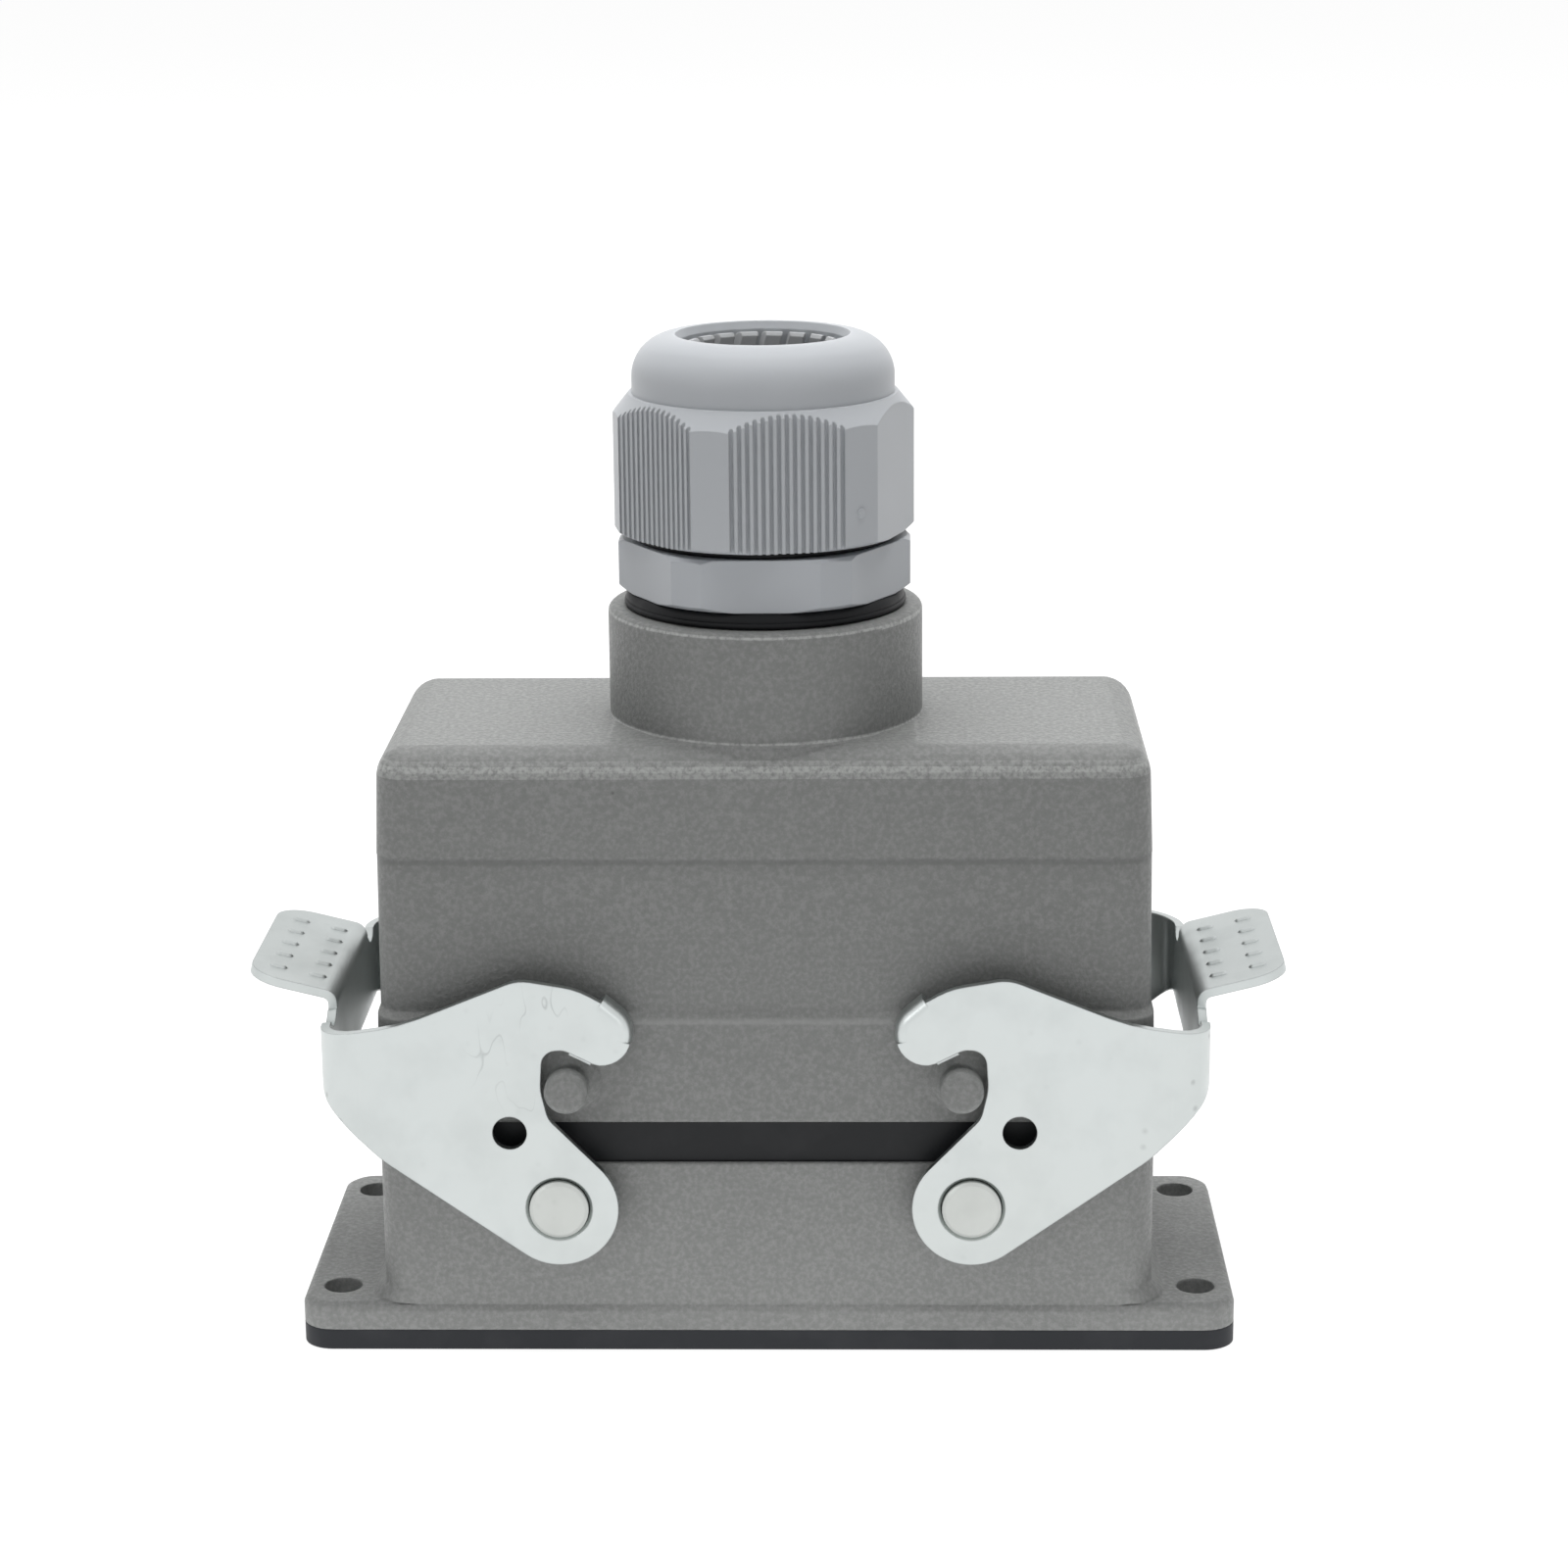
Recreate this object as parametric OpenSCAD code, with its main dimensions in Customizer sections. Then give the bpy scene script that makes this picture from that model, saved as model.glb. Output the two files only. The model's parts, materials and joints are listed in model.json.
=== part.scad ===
// Heavy duty rectangular connector, mated and locked: a base housing with a mounting flange,
// a hood with a top cable gland, and two folded steel levers that lock the hood down.
// Millimetres. X runs along the connector, Y across it and Z up from the mounting panel.
// The origin is the middle of the flange gasket's underside.

/* [Base housing] */
// Length of the housing's body
body_l = 92.2; // [88:0.2:120]
// Depth of the housing's body
body_d = 43; // [42:0.2:54]
// Radius of the body's upright corners
body_r = 4.5; // [3:0.1:6]
// Height of the body, from the gasket to the rim
base_h = 21.1; // [20:0.1:32]
// Wall of the body
base_wall = 3; // [2.4:0.1:3.6]
// How far the mounting flange stands out past each end of the body
flange_ear = 9.9; // [9:0.1:16]
// How far the flange stands out past each long side
flange_rim = 0.3; // [0.1:0.1:1]
// Thickness of the flange
flange_t = 3.3; // [2.6:0.1:5]
// Radius of the flange's corners
flange_r = 3.8; // [2:0.1:5]
// Diameter of the fixing holes
hole_d = 4.6; // [3.6:0.1:5.6]
// Fixing hole centre, in from the flange's end
hole_from_end = 4.5; // [4:0.1:5.4]
// Fixing hole centre, in from the flange's long edge
hole_from_side = 5.8; // [4.5:0.1:8]

/* [Seals] */
// Thickness of the flange gasket
gasket_t = 2.5; // [1:0.1:4]
// Height of the seal that shows between base and hood
seal_h = 5.2; // [4:0.1:7]
// How far the seal stands back from the housing's faces
seal_inset = 0.6; // [0.3:0.1:1.2]
// Width of the seal's section
seal_w = 2.6; // [2:0.1:3.4]

/* [Hood] */
// Height of the hood, without its collar
hood_h = 44.8; // [42:0.2:64]
// Wall of the hood
hood_wall = 2.8; // [2.2:0.1:3.4]
// How far each side leans in, from the hood's foot to its top
hood_lean = 1; // [0.4:0.1:2]
// Height of the thick skirt at the hood's foot
skirt_h = 12.5; // [10:0.1:15]
// How far the face steps back above the skirt
skirt_step = 0.6; // [0.3:0.1:1]
// Height of the raised band along the top of the long faces
band_h = 12.9; // [9:0.1:18]
// How far that band stands out
band_step = 0.3; // [0.1:0.1:0.6]
// Radius of the hood's upright corners and top edges
edge_r = 3.7; // [2.5:0.1:4.5]
// Diameter of the cable entry collar
collar_d = 37.5; // [34:0.5:40]
// Height of the collar
collar_h = 13.4; // [12:0.1:22]

/* [Locking levers] */
// Thickness of the sheet
sheet_t = 1.1; // [1:0.1:2]
// Gap between the body's long face and a lever's side plate
side_gap = 2.2; // [1.2:0.1:3]
// Outer radius of the bends between web and side plates
web_bend_r = 4.8; // [3:0.1:5.4]
// Pivot centre, in from the body's end
pivot_in = 21.8; // [21:0.1:23.2]
// Pivot centre, down from the base's rim
pivot_drop = 4.5; // [4.2:0.1:6]
// Pivot centre to the outside of the lever's web
web_reach = 28; // [27.6:0.1:30]
// Radius of the eye round the pivot
eye_r = 7; // [6:0.1:8]
// Diameter of the pivot pins
pin_d = 7; // [6:0.1:8.5]
// Diameter of the hood pegs that the hooks hold
peg_d = 5.1; // [4:0.1:5.6]
// Width of the finger tab
tab_w = 27.4; // [20:0.2:30]
// Length of the finger tab, past its fold
tab_l = 9.5; // [8:0.1:14]
// Slope of the finger tab
tab_slope = 13.9; // [5:0.1:25]

/* [Cable gland] */
// Diameter of the gland's entry thread
entry_d = 25; // [20:0.5:26]
// Thickness of the sealing washer
washer_t = 1.9; // [1.5:0.1:3]
// Width across the flats of the gland body
hex_af = 32; // [30:0.5:36]
// Height of the gland body's hexagon
hex_h = 6.2; // [5:0.1:9]
// Width across the flats of the cap nut
nut_af = 33; // [31:0.5:36]
// Height of the cap nut, from its foot to its crown
nut_h = 23.2; // [21.6:0.1:27]
// Diameter of the hole in the cap nut's crown
mouth_d = 19.7; // [17:0.1:20.4]
// Diameter of the hole in the cable seal
cable_d = 16; // [10:0.5:16.6]

/* [Contact inserts] */
// Contacts in each of the two rows
contacts_per_row = 8; // [3:1:8]
// Distance between neighbouring contacts
contact_pitch = 7.4; // [7:0.1:8]
// Distance between the two rows
row_gap = 11; // [10:0.1:13]
// Diameter of the contact pins
contact_d = 2.5; // [1.6:0.1:2.6]
// Thickness of the inserts' end plates
insert_plate_t = 3; // [2.5:0.1:4]

/* [Hidden] */

$fn = 48;
over = 1;              // how far a cutter runs past the face that it opens
screw_gap = 0.05;      // round a screw or pin that is fixed in its hole
pivot_gap = 0.1;       // round a pivot pin in a lever's eye
face_gap = 0.3;        // between faces that slide past each other
fit_gap = 0.4;         // round an insert in its housing

// Levels, from the panel up
flange_top_z = gasket_t + flange_t;
rim_z = gasket_t + base_h;
hood_z = rim_z + seal_h;
skirt_top_z = hood_z + skirt_h;
hood_top_z = hood_z + hood_h;
band_z = hood_top_z - band_h;
collar_top_z = hood_top_z + collar_h;
hex_z = collar_top_z + washer_t;
sleeve_z = hex_z + hex_h;
nut_z = sleeve_z + 0.8;
nut_top_z = nut_z + nut_h;

// Half sizes in plan
body_hl = body_l / 2;
body_hd = body_d / 2;
flange_hl = body_hl + flange_ear;
flange_hd = body_hd + flange_rim;
hole_x = flange_hl - hole_from_end;
hole_y = flange_hd - hole_from_side;
hollow_hl = body_hl - base_wall;
hollow_hd = body_hd - base_wall;
insert_hl = hollow_hl - 1.1;
insert_hd = min(hollow_hd, body_hd - hood_lean - hood_wall) - fit_gap;

// Levers
pivot_x = body_hl - pivot_in;
pivot_z = rim_z - pivot_drop;
plate_in_y = body_hd + side_gap;
plate_out_y = plate_in_y + sheet_t;
boss_out_y = plate_in_y - face_gap;
under_slope = 34.8;    // rise of the lever's lower edge
throat_slope = 45.9;   // rise of the edge that leads the peg in
nose_c = [-5.3, 21.4]; // centre of the hook's round nose, from the pivot
nose_r = 3.7;
curl_r = sheet_t + 0.2; // outer radius of the bend on the nose
curl_flat = 2.5;       // length of the bend's straight run, which ends at the nose's top
curl_from = 130.5;     // where its round run starts, in degrees round the nose
curl_turn = 64.5;      // how far that runs
curl_step = 0.15;      // how far the plate's cut edge stands back from the nose's rim
curl_seam = 0.5;       // flat strip inside the bend, which the plate laps
lip_drop = 0.45;       // how far the throat's bent lip shows under the plate's edge
notch_r = 3;           // notches beside the finger tab's fold
fold_r = 0.8;          // inner radius of that fold
tab_top = 23.7;        // upper face of the tab at its fold, from the pivot
spy_hole = [5.6, 9.5]; // small round hole in each side plate
spy_hole_d = 4.05;
peg_at = [-1.2, 14.9]; // hook peg, from the pivot, when the lever is closed
peg_x = pivot_x + peg_at[0];
peg_z = pivot_z + peg_at[1];
peg_out_y = plate_out_y + 1.8;

// The side plate's outline, from the pivot: X, Z and the corner's radius
side_outline = [
    [eye_r * sin(under_slope), -eye_r * cos(under_slope), 0],
    [20.8, 6.2, 14],
    [web_reach, 13.4, 4],
    [web_reach, 21.2, 0],
    [18.2, 22.6, 22],
    [4.2, 28.25, 5],
    [-2.6, 27.1, 9],
    [-4.8, 25.85, 0],
    [-6.5, 24.9, 0],
    nose_point(160),
    for (a = [189 : 12 : 273]) nose_point(a),
    [-4.3, 18.05, 0.6],
    [-1, 19.7, 2],
    [1.6, 19.6, 1.8],
    [1.85, 14.8, 6],
    [1.1, 11.2, 3],
    [-eye_r * sin(throat_slope), eye_r * cos(throat_slope), 0],
];

// Corner of the side plate's outline at the nose, at an angle round the nose
function nose_point(a) =
    let (r = nose_r - curl_step)
    [nose_c[0] + r * cos(a), nose_c[1] + r * sin(a), 0];

// Gland
gland_bore_r = entry_d / 2 - 2.5;
sleeve_r = entry_d / 2 + 1.5;
sleeve_top_z = sleeve_z + 10.5;
shank_len = 12;
claw_z = sleeve_z + 2;
claw_r = sleeve_r - 1.9;
claw_wall = 1.5;
claw_top_z = nut_top_z - 1.1;
nut_bore_r = sleeve_r + 0.1;
cone_z = sleeve_top_z + 1.2;
nut_turn = 11;        // how far the nut's flats are turned from the long face
finger_count = 18;
finger_slant = 14;      // how far the slots between the fingers lean over

// Inserts: the base holds the socket insert, and the hood holds the pin insert
socket_plate_z = gasket_t + 13.5;
socket_top_z = hood_z + 7.2;
pin_plate_z = socket_top_z + 6;
block_h = 14;
tower_hl = (contacts_per_row - 1) * contact_pitch / 2 + 5.6;
tower_hd = row_gap / 2 + 4.7;
shroud_gap = 0.4;
shroud_wall = 2.3;
screw_x = insert_hl - 3.3;
screw_y = insert_hd - 3.4;
screw_boss_r = 3.6;
block_hl = screw_x - screw_boss_r - 0.6;
block_hd = insert_hd - 0.3;
contact_r = contact_d / 2;
socket_r = contact_r + 0.75;
cage = [5, 5.6, 12];
cage_bore_r = 1.5;
clamp_screw_r = 1.45;
earth_t = 1;
earth_x = screw_x - screw_boss_r + 0.1;
earth_screw_x = earth_x + 4.7;
m4_r = 2;
m4_head_r = 3.4;

// ---------------------------------------------------------------- shared shapes

// Unit vector from p to q
function toward(p, q) = (q - p) / norm(q - p);

// Points of a corner at b, between a and c, rounded to a radius
function round_corner(a, b, c, r) =
    let (
        da = toward(b, a),
        dc = toward(b, c),
        half = acos(da * dc) / 2,
        centre = b + (da + dc) / norm(da + dc) * r / sin(half),
        start = b + da * r / tan(half) - centre,
        turn = 180 - 2 * half,
        side = sign(cross(b - a, c - b)),
        steps = max(2, ceil(turn / 9))
    )
    [for (i = [0 : steps])
        let (t = side * turn * i / steps)
        centre + [start[0] * cos(t) - start[1] * sin(t), start[0] * sin(t) + start[1] * cos(t)]];

// Outline through points of X, Y and corner radius
function rounded_outline(pts) =
    [for (i = [0 : len(pts) - 1])
        let (
            n = len(pts),
            a = [pts[(i + n - 1) % n][0], pts[(i + n - 1) % n][1]],
            b = [pts[i][0], pts[i][1]],
            c = [pts[(i + 1) % n][0], pts[(i + 1) % n][1]]
        )
        each (pts[i][2] > 0 ? round_corner(a, b, c, pts[i][2]) : [b])];

// Rectangle with round corners, by its half sizes
module rounded_rect(hl, hd, r) {
    square([2 * hl, 2 * (hd - r)], center = true);
    square([2 * (hl - r), 2 * hd], center = true);
    for (sx = [-1, 1], sy = [-1, 1])
        translate([sx * (hl - r), sy * (hd - r)])
            circle(r);
}

// A thin level slice of a rounded block, for hull() to span
module slice(hl, hd, r, z) {
    for (sx = [-1, 1], sy = [-1, 1])
        translate([sx * (hl - r), sy * (hd - r), z])
            cylinder(r = r, h = 0.01, $fn = 32);
}

// Hexagonal prism with its corners cut flat, by its width across the flats
module blunt_hexagon(af, corner_r, h) {
    intersection() {
        cylinder(r = af / sqrt(3), h = h, $fn = 6);
        rotate(30)
            cylinder(r = corner_r * 2 / sqrt(3), h = h, $fn = 6);
    }
}

// Children at each of the four places at plus and minus x and y
module four(x, y) {
    for (sx = [-1, 1], sy = [-1, 1])
        translate([sx * x, sy * y, 0])
            children();
}

// Children copied from +Y to -Y too
module both_sides() {
    children();
    mirror([0, 1, 0])
        children();
}

// Children copied from +X to -X too
module both_ends() {
    children();
    mirror([1, 0, 0])
        children();
}

// A round bar along +Y from y0 to y1
module y_bar(r, y0, y1) {
    translate([0, y0, 0])
        rotate([-90, 0, 0])
            cylinder(r = r, h = y1 - y0);
}

// Places of the contacts, each turned so that its +Y faces the nearer long side
module at_contacts() {
    for (i = [0 : contacts_per_row - 1], side = [0, 1])
        translate([(i - (contacts_per_row - 1) / 2) * contact_pitch, 0, 0])
            mirror([0, side, 0])
                translate([0, row_gap / 2, 0])
                    children();
}

// ---------------------------------------------------------------- base housing

module base_housing() {
    color([0.53, 0.54, 0.54])
    difference() {
        union() {
            flange();
            difference() {
                base_body();
                translate([0, 0, gasket_t - over])
                    linear_extrude(base_h + 2 * over)
                        rounded_rect(hollow_hl, hollow_hd, base_wall / 2);
            }
            four(screw_x, screw_y)
                translate([0, 0, gasket_t])
                    cylinder(r = screw_boss_r, h = socket_plate_z - gasket_t);
            boss_webs();
        }
        four(hole_x, hole_y)
            translate([0, 0, gasket_t - over])
                cylinder(d = hole_d, h = flange_t + 2 * over);
        four(screw_x, screw_y)
            translate([0, 0, gasket_t + 3])
                cylinder(r = m4_r, h = socket_plate_z);
        at_pivots()
            y_bar(pin_d / 2 + screw_gap, hollow_hd - over, boss_out_y + over);
    }
}

// Flange with its top arris rounded, open in the middle
module flange() {
    difference() {
        hull() {
            slice(flange_hl, flange_hd, flange_r, gasket_t);
            slice(flange_hl, flange_hd, flange_r, flange_top_z - 0.9);
            slice(flange_hl - 0.25, flange_hd - 0.25, flange_r - 0.25, flange_top_z - 0.3);
            slice(flange_hl - 0.8, flange_hd - 0.8, flange_r - 0.8, flange_top_z - 0.01);
        }
        translate([0, 0, gasket_t - over])
            linear_extrude(flange_t + 2 * over)
                rounded_rect(hollow_hl, hollow_hd, base_wall / 2);
    }
}

// Outside of the body, with a fillet on its foot and the lever bosses
module base_body() {
    translate([0, 0, gasket_t])
        linear_extrude(base_h)
            rounded_rect(body_hl, body_hd, body_r);
    hull() {
        slice(body_hl + 1.6, body_hd, body_r, flange_top_z - 0.02);
        slice(body_hl + 0.6, body_hd, body_r, flange_top_z + 0.5);
        slice(body_hl, body_hd, body_r, flange_top_z + 1.8);
    }
    at_pivots()
        y_bar(pivot_drop - 0.1, body_hd - base_wall / 2, boss_out_y);
}

// Webs that tie the screw bosses to the end walls and the long walls
module boss_webs() {
    both_ends()
        both_sides() {
            translate([screw_x, screw_y - 1.5, gasket_t])
                cube([hollow_hl + base_wall / 2 - screw_x, 3, socket_plate_z - gasket_t - 1.5]);
            translate([screw_x - 1.5, screw_y, gasket_t])
                cube([3, hollow_hd + base_wall / 2 - screw_y, socket_plate_z - gasket_t - 1.5]);
        }
}

// Places of the four lever pivots, with +Y outwards
module at_pivots() {
    both_sides()
        for (sx = [-1, 1])
            translate([sx * pivot_x, 0, pivot_z])
                children();
}

module flange_gasket() {
    color([0.13, 0.14, 0.15])
    difference() {
        linear_extrude(gasket_t)
            rounded_rect(flange_hl, flange_hd, flange_r);
        translate([0, 0, -over])
            linear_extrude(gasket_t + 2 * over)
                rounded_rect(hollow_hl, hollow_hd, base_wall / 2);
        four(hole_x, hole_y)
            translate([0, 0, -over])
                cylinder(d = hole_d, h = gasket_t + 2 * over);
    }
}

module housing_seal() {
    color([0.1, 0.11, 0.12])
    translate([0, 0, rim_z])
        linear_extrude(seal_h)
            difference() {
                rounded_rect(body_hl - seal_inset, body_hd - seal_inset, body_r - seal_inset);
                rounded_rect(body_hl - seal_inset - seal_w, body_hd - seal_inset - seal_w, 1.5);
            }
}

module lever_pivot_pins() {
    color([0.82, 0.83, 0.82])
    at_pivots() {
        y_bar(pin_d / 2, hollow_hd, plate_out_y + 0.2);
        translate([0, plate_out_y + 0.2, 0])
            rotate([-90, 0, 0])
                cylinder(r1 = pin_d / 2, r2 = pin_d / 2 - 0.4, h = 0.3);
    }
}

// ---------------------------------------------------------------- locking levers

module right_locking_lever() {
    color([0.84, 0.86, 0.86])
    translate([pivot_x, 0, pivot_z])
        lever();
}

module left_locking_lever() {
    color([0.84, 0.86, 0.86])
    translate([-pivot_x, 0, pivot_z])
        mirror([1, 0, 0])
            lever();
}

// One lever, drawn from its pivot: a U of sheet, a curled hook on each side and a finger tab
module lever() {
    difference() {
        union() {
            intersection() {
                sheet_u();
                side_slab()
                    side_plate();
            }
            both_sides() {
                nose_curl();
                throat_lip();
            }
            tab_fold();
            finger_tab();
        }
        side_slab()
            circle(pin_d / 2 + pivot_gap);
        both_sides()
            translate([0, plate_out_y - 0.4, 0])
                rotate([-90, 0, 0])
                    cylinder(r1 = pin_d / 2 + pivot_gap, r2 = pin_d / 2 + pivot_gap + 0.8, h = 0.8);
        side_slab()
            translate(spy_hole)
                circle(d = spy_hole_d);
        both_sides()
            translate([web_reach - sheet_t - over, tab_w / 2 + notch_r, fold_c()[1] + 1.4])
                rotate([0, 90, 0])
                    cylinder(r = notch_r, h = sheet_t + 2 * over);
    }
}

// The sheet as it is folded, seen from above: two side plates and the web between them
module sheet_u() {
    translate([0, 0, -eye_r - over])
        linear_extrude(2 * eye_r + 30)
            difference() {
                u_plan(web_reach, plate_out_y, web_bend_r);
                u_plan(web_reach - sheet_t, plate_in_y, web_bend_r - sheet_t);
            }
}

module u_plan(reach, hw, r) {
    back = -15;
    translate([back, -hw])
        square([reach - r - back, 2 * hw]);
    translate([back, -(hw - r)])
        square([reach - back, 2 * (hw - r)]);
    for (sy = [-1, 1])
        translate([reach - r, sy * (hw - r)])
            circle(r);
}

// Children drawn in X and Z, run right through in Y
module side_slab() {
    translate([0, plate_out_y + over, 0])
        rotate([90, 0, 0])
            linear_extrude(2 * (plate_out_y + over))
                children();
}

// Side plate in X and Z, without the curled rim of its nose
module side_plate() {
    difference() {
        union() {
            polygon(rounded_outline(side_outline));
            circle(eye_r);
        }
        translate(nose_c)
            rotate(curl_from)
                polygon(curl_cut());
    }
}

// Part of the nose that the curled rim takes the place of, with X out through the bend
function curl_cut() =
    let (near = nose_r - curl_r - curl_seam / 2, far = nose_r + 1.5, steps = 6)
    concat(
        [[far, -curl_flat], [near, -curl_flat]],
        [for (i = [0 : steps]) let (a = i * curl_turn / steps) near * [cos(a), sin(a)]],
        [for (i = [steps : -1 : 0]) let (a = i * curl_turn / steps) 1.1 * far * [cos(a), sin(a)]]
    );

// The rim that is bent in towards the hood along the nose, on the +Y side
module nose_curl() {
    translate([nose_c[0], 0, nose_c[1]])
        rotate([90, 0, 0])
            mirror([0, 0, 1])
                rotate([0, 0, curl_from]) {
                    rotate_extrude(angle = curl_turn)
                        curl_section();
                    rotate([90, 0, 0])
                        linear_extrude(curl_flat)
                            curl_section();
                }
}

// Section of that rim: the bend, the lip beyond it and the flat strip inside it
module curl_section() {
    lip_y = body_hd + 0.5;
    translate([nose_r - curl_r, plate_out_y - curl_r])
        intersection() {
            difference() {
                circle(curl_r);
                circle(curl_r - sheet_t);
            }
            square(curl_r);
        }
    translate([nose_r - sheet_t, lip_y])
        square([sheet_t, plate_out_y - curl_r - lip_y]);
    translate([nose_r - curl_r - curl_seam, plate_in_y])
        square([curl_seam, sheet_t]);
}

// Lip bent in along the throat, where the hook comes down on the peg, on the +Y side
module throat_lip() {
    in_y = plate_in_y - 0.8;
    translate([nose_c[0] + 1.3, in_y, nose_c[1] - 3.2 - lip_drop])
        rotate([0, -26.6, 0])
            cube([2.8, plate_out_y - lip_drop - in_y, 1.2]);
}

// Centre of the finger tab's fold, in X and Z
function fold_c() = [web_reach + fold_r, tab_top - fold_r - sheet_t];

// The fold from the web's top out to the tab
module tab_fold() {
    translate([fold_c()[0], 0, fold_c()[1]])
        rotate([90, 0, 0])
            rotate([0, 0, 90 + tab_slope])
                rotate_extrude(angle = 90 - tab_slope)
                    translate([fold_r, -tab_w / 2])
                        square([sheet_t, tab_w]);
    translate([web_reach - sheet_t, -tab_w / 2, fold_c()[1] - 2])
        cube([sheet_t, tab_w, 2]);
}

// The tab with its round outer corners and two rows of raised grip bumps
module finger_tab() {
    corner = 4.3;
    translate([fold_c()[0], 0, fold_c()[1]])
        rotate([0, -tab_slope, 0])
            translate([0, 0, fold_r]) {
                linear_extrude(sheet_t) {
                    translate([0, -tab_w / 2])
                        square([tab_l - corner, tab_w]);
                    translate([0, -(tab_w / 2 - corner)])
                        square([tab_l, tab_w - 2 * corner]);
                    for (sy = [-1, 1])
                        translate([tab_l - corner, sy * (tab_w / 2 - corner)])
                            circle(corner);
                }
                for (row = [0, 1], i = [-2 : 2])
                    translate([0.9 + 4.8 * row, i * 4.7, sheet_t - 0.25])
                        grip_bump();
            }
}

// A long bump with round ends, turned about its length
module grip_bump() {
    r = 0.55;
    len = 1.2;
    rotate([0, 90, 0])
        rotate_extrude($fn = 20)
            intersection() {
                union() {
                    square([r, len]);
                    circle(r);
                    translate([0, len])
                        circle(r);
                }
                translate([0, -r])
                    square([r, len + 2 * r]);
            }
}

// ---------------------------------------------------------------- hood

module cable_hood() {
    color([0.49, 0.5, 0.5])
    difference() {
        union() {
            difference() {
                union() {
                    hood_skirt();
                    hood_middle();
                    hood_band();
                    collar();
                }
                hood_hollow();
            }
            hood_bosses();
            at_pegs()
                peg();
        }
        translate([0, 0, hood_top_z - hood_wall - over])
            cylinder(d = entry_d + 2 * screw_gap, h = collar_top_z);
        four(screw_x, screw_y)
            translate([0, 0, pin_plate_z + insert_plate_t - over])
                cylinder(r = m4_r, h = 10 + over);
    }
}

// How far the hood's sides lean in at a height
function lean_at(z) = hood_lean * (z - hood_z) / hood_h;

module hood_slice(z, in_x, in_y) {
    slice(body_hl - lean_at(z) - in_x, body_hd - lean_at(z) - in_y, edge_r, z);
}

module hood_skirt() {
    hull() {
        hood_slice(hood_z, 0, 0);
        hood_slice(skirt_top_z, 0, 0);
        hood_slice(skirt_top_z + 0.9, skirt_step / 2, skirt_step);
    }
}

module hood_middle() {
    hull() {
        hood_slice(skirt_top_z, skirt_step / 2, skirt_step);
        hood_slice(band_z + 1, 0, skirt_step);
    }
}

// Band along the top, with round top edges
module hood_band() {
    hull() {
        hood_slice(band_z, 0, skirt_step - band_step);
        four(body_hl - hood_lean - edge_r, body_hd - hood_lean - skirt_step + band_step - edge_r)
            translate([0, 0, hood_top_z - edge_r])
                sphere(edge_r, $fn = 32);
    }
}

// Cable entry collar with its rounded rim, on a low plinth that slopes off to the long sides
module collar() {
    r = collar_d / 2;
    root_r = 0.6;
    plinth_hl = r - 0.8;
    plinth_hd = body_hd - hood_lean - edge_r + 0.1;
    translate([0, 0, hood_top_z - edge_r])
        rotate_extrude()
            difference() {
                union() {
                    square([r, edge_r + collar_h - 0.8]);
                    square([r - 0.8, edge_r + collar_h]);
                    translate([r - 0.8, edge_r + collar_h - 0.8])
                        circle(0.8);
                    translate([r - 0.1, 0])
                        square([root_r + 0.1, edge_r + root_r]);
                }
                translate([r + root_r, edge_r + root_r])
                    circle(root_r);
            }
    translate([-plinth_hl, 0, hood_top_z])
        rotate([90, 0, 90])
            linear_extrude(2 * plinth_hl)
                polygon([
                    [-plinth_hd, -1],
                    [plinth_hd, -1],
                    [plinth_hd, -0.05],
                    [plinth_hd - 4.4, 0.35],
                    [4.4 - plinth_hd, 0.35],
                    [-plinth_hd, -0.05],
                ]);
}

module hood_hollow() {
    inset = hood_wall + skirt_step;
    hull() {
        slice(body_hl - hood_wall, body_hd - hood_wall, 1.6, hood_z - over);
        slice(body_hl - inset - lean_at(skirt_top_z), body_hd - inset - lean_at(skirt_top_z), 1.6, skirt_top_z);
        slice(body_hl - inset - hood_lean, body_hd - inset - hood_lean, 1.6, hood_top_z - hood_wall);
    }
}

// Bosses that the pin insert is screwed to, each tied to the walls at its corner
module hood_bosses() {
    z = pin_plate_z + insert_plate_t;
    h = 12;
    wall_x = body_hl - hood_lean - hood_wall;
    wall_y = body_hd - hood_lean - hood_wall;
    four(screw_x, screw_y)
        translate([0, 0, z])
            cylinder(r = screw_boss_r, h = h);
    both_ends()
        both_sides() {
            translate([screw_x, screw_y - 1.5, z + 1])
                cube([wall_x + 0.6 - screw_x, 3, h - 1]);
            translate([screw_x - 1.5, screw_y, z + 1])
                cube([3, wall_y + 0.2 - screw_y, h - 1]);
        }
}

module at_pegs() {
    both_sides()
        for (sx = [-1, 1])
            translate([sx * peg_x, 0, peg_z])
                children();
}

// One peg along +Y, with a cone at its root and a chamfered end
module peg() {
    face_y = body_hd - lean_at(peg_z);
    root_y = face_y - hood_wall / 2;
    rotate([-90, 0, 0])
        rotate_extrude()
            polygon([
                [0, root_y],
                [peg_d / 2 + 2, root_y],
                [peg_d / 2 + 1.2, face_y + 0.3],
                [peg_d / 2, face_y + 1.7],
                [peg_d / 2, peg_out_y - 0.6],
                [peg_d / 2 - 0.6, peg_out_y],
                [0, peg_out_y],
            ]);
}

// ---------------------------------------------------------------- cable gland

module gland_washer() {
    color([0.06, 0.06, 0.07])
    translate([0, 0, collar_top_z])
        rotate_extrude() {
            in_r = entry_d / 2 + 0.3;
            out_r = hex_af / 2 + 0.6;
            translate([in_r, 0])
                square([out_r - washer_t / 2 - in_r, washer_t]);
            translate([out_r - washer_t / 2, washer_t / 2])
                circle(washer_t / 2);
        }
}

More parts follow.
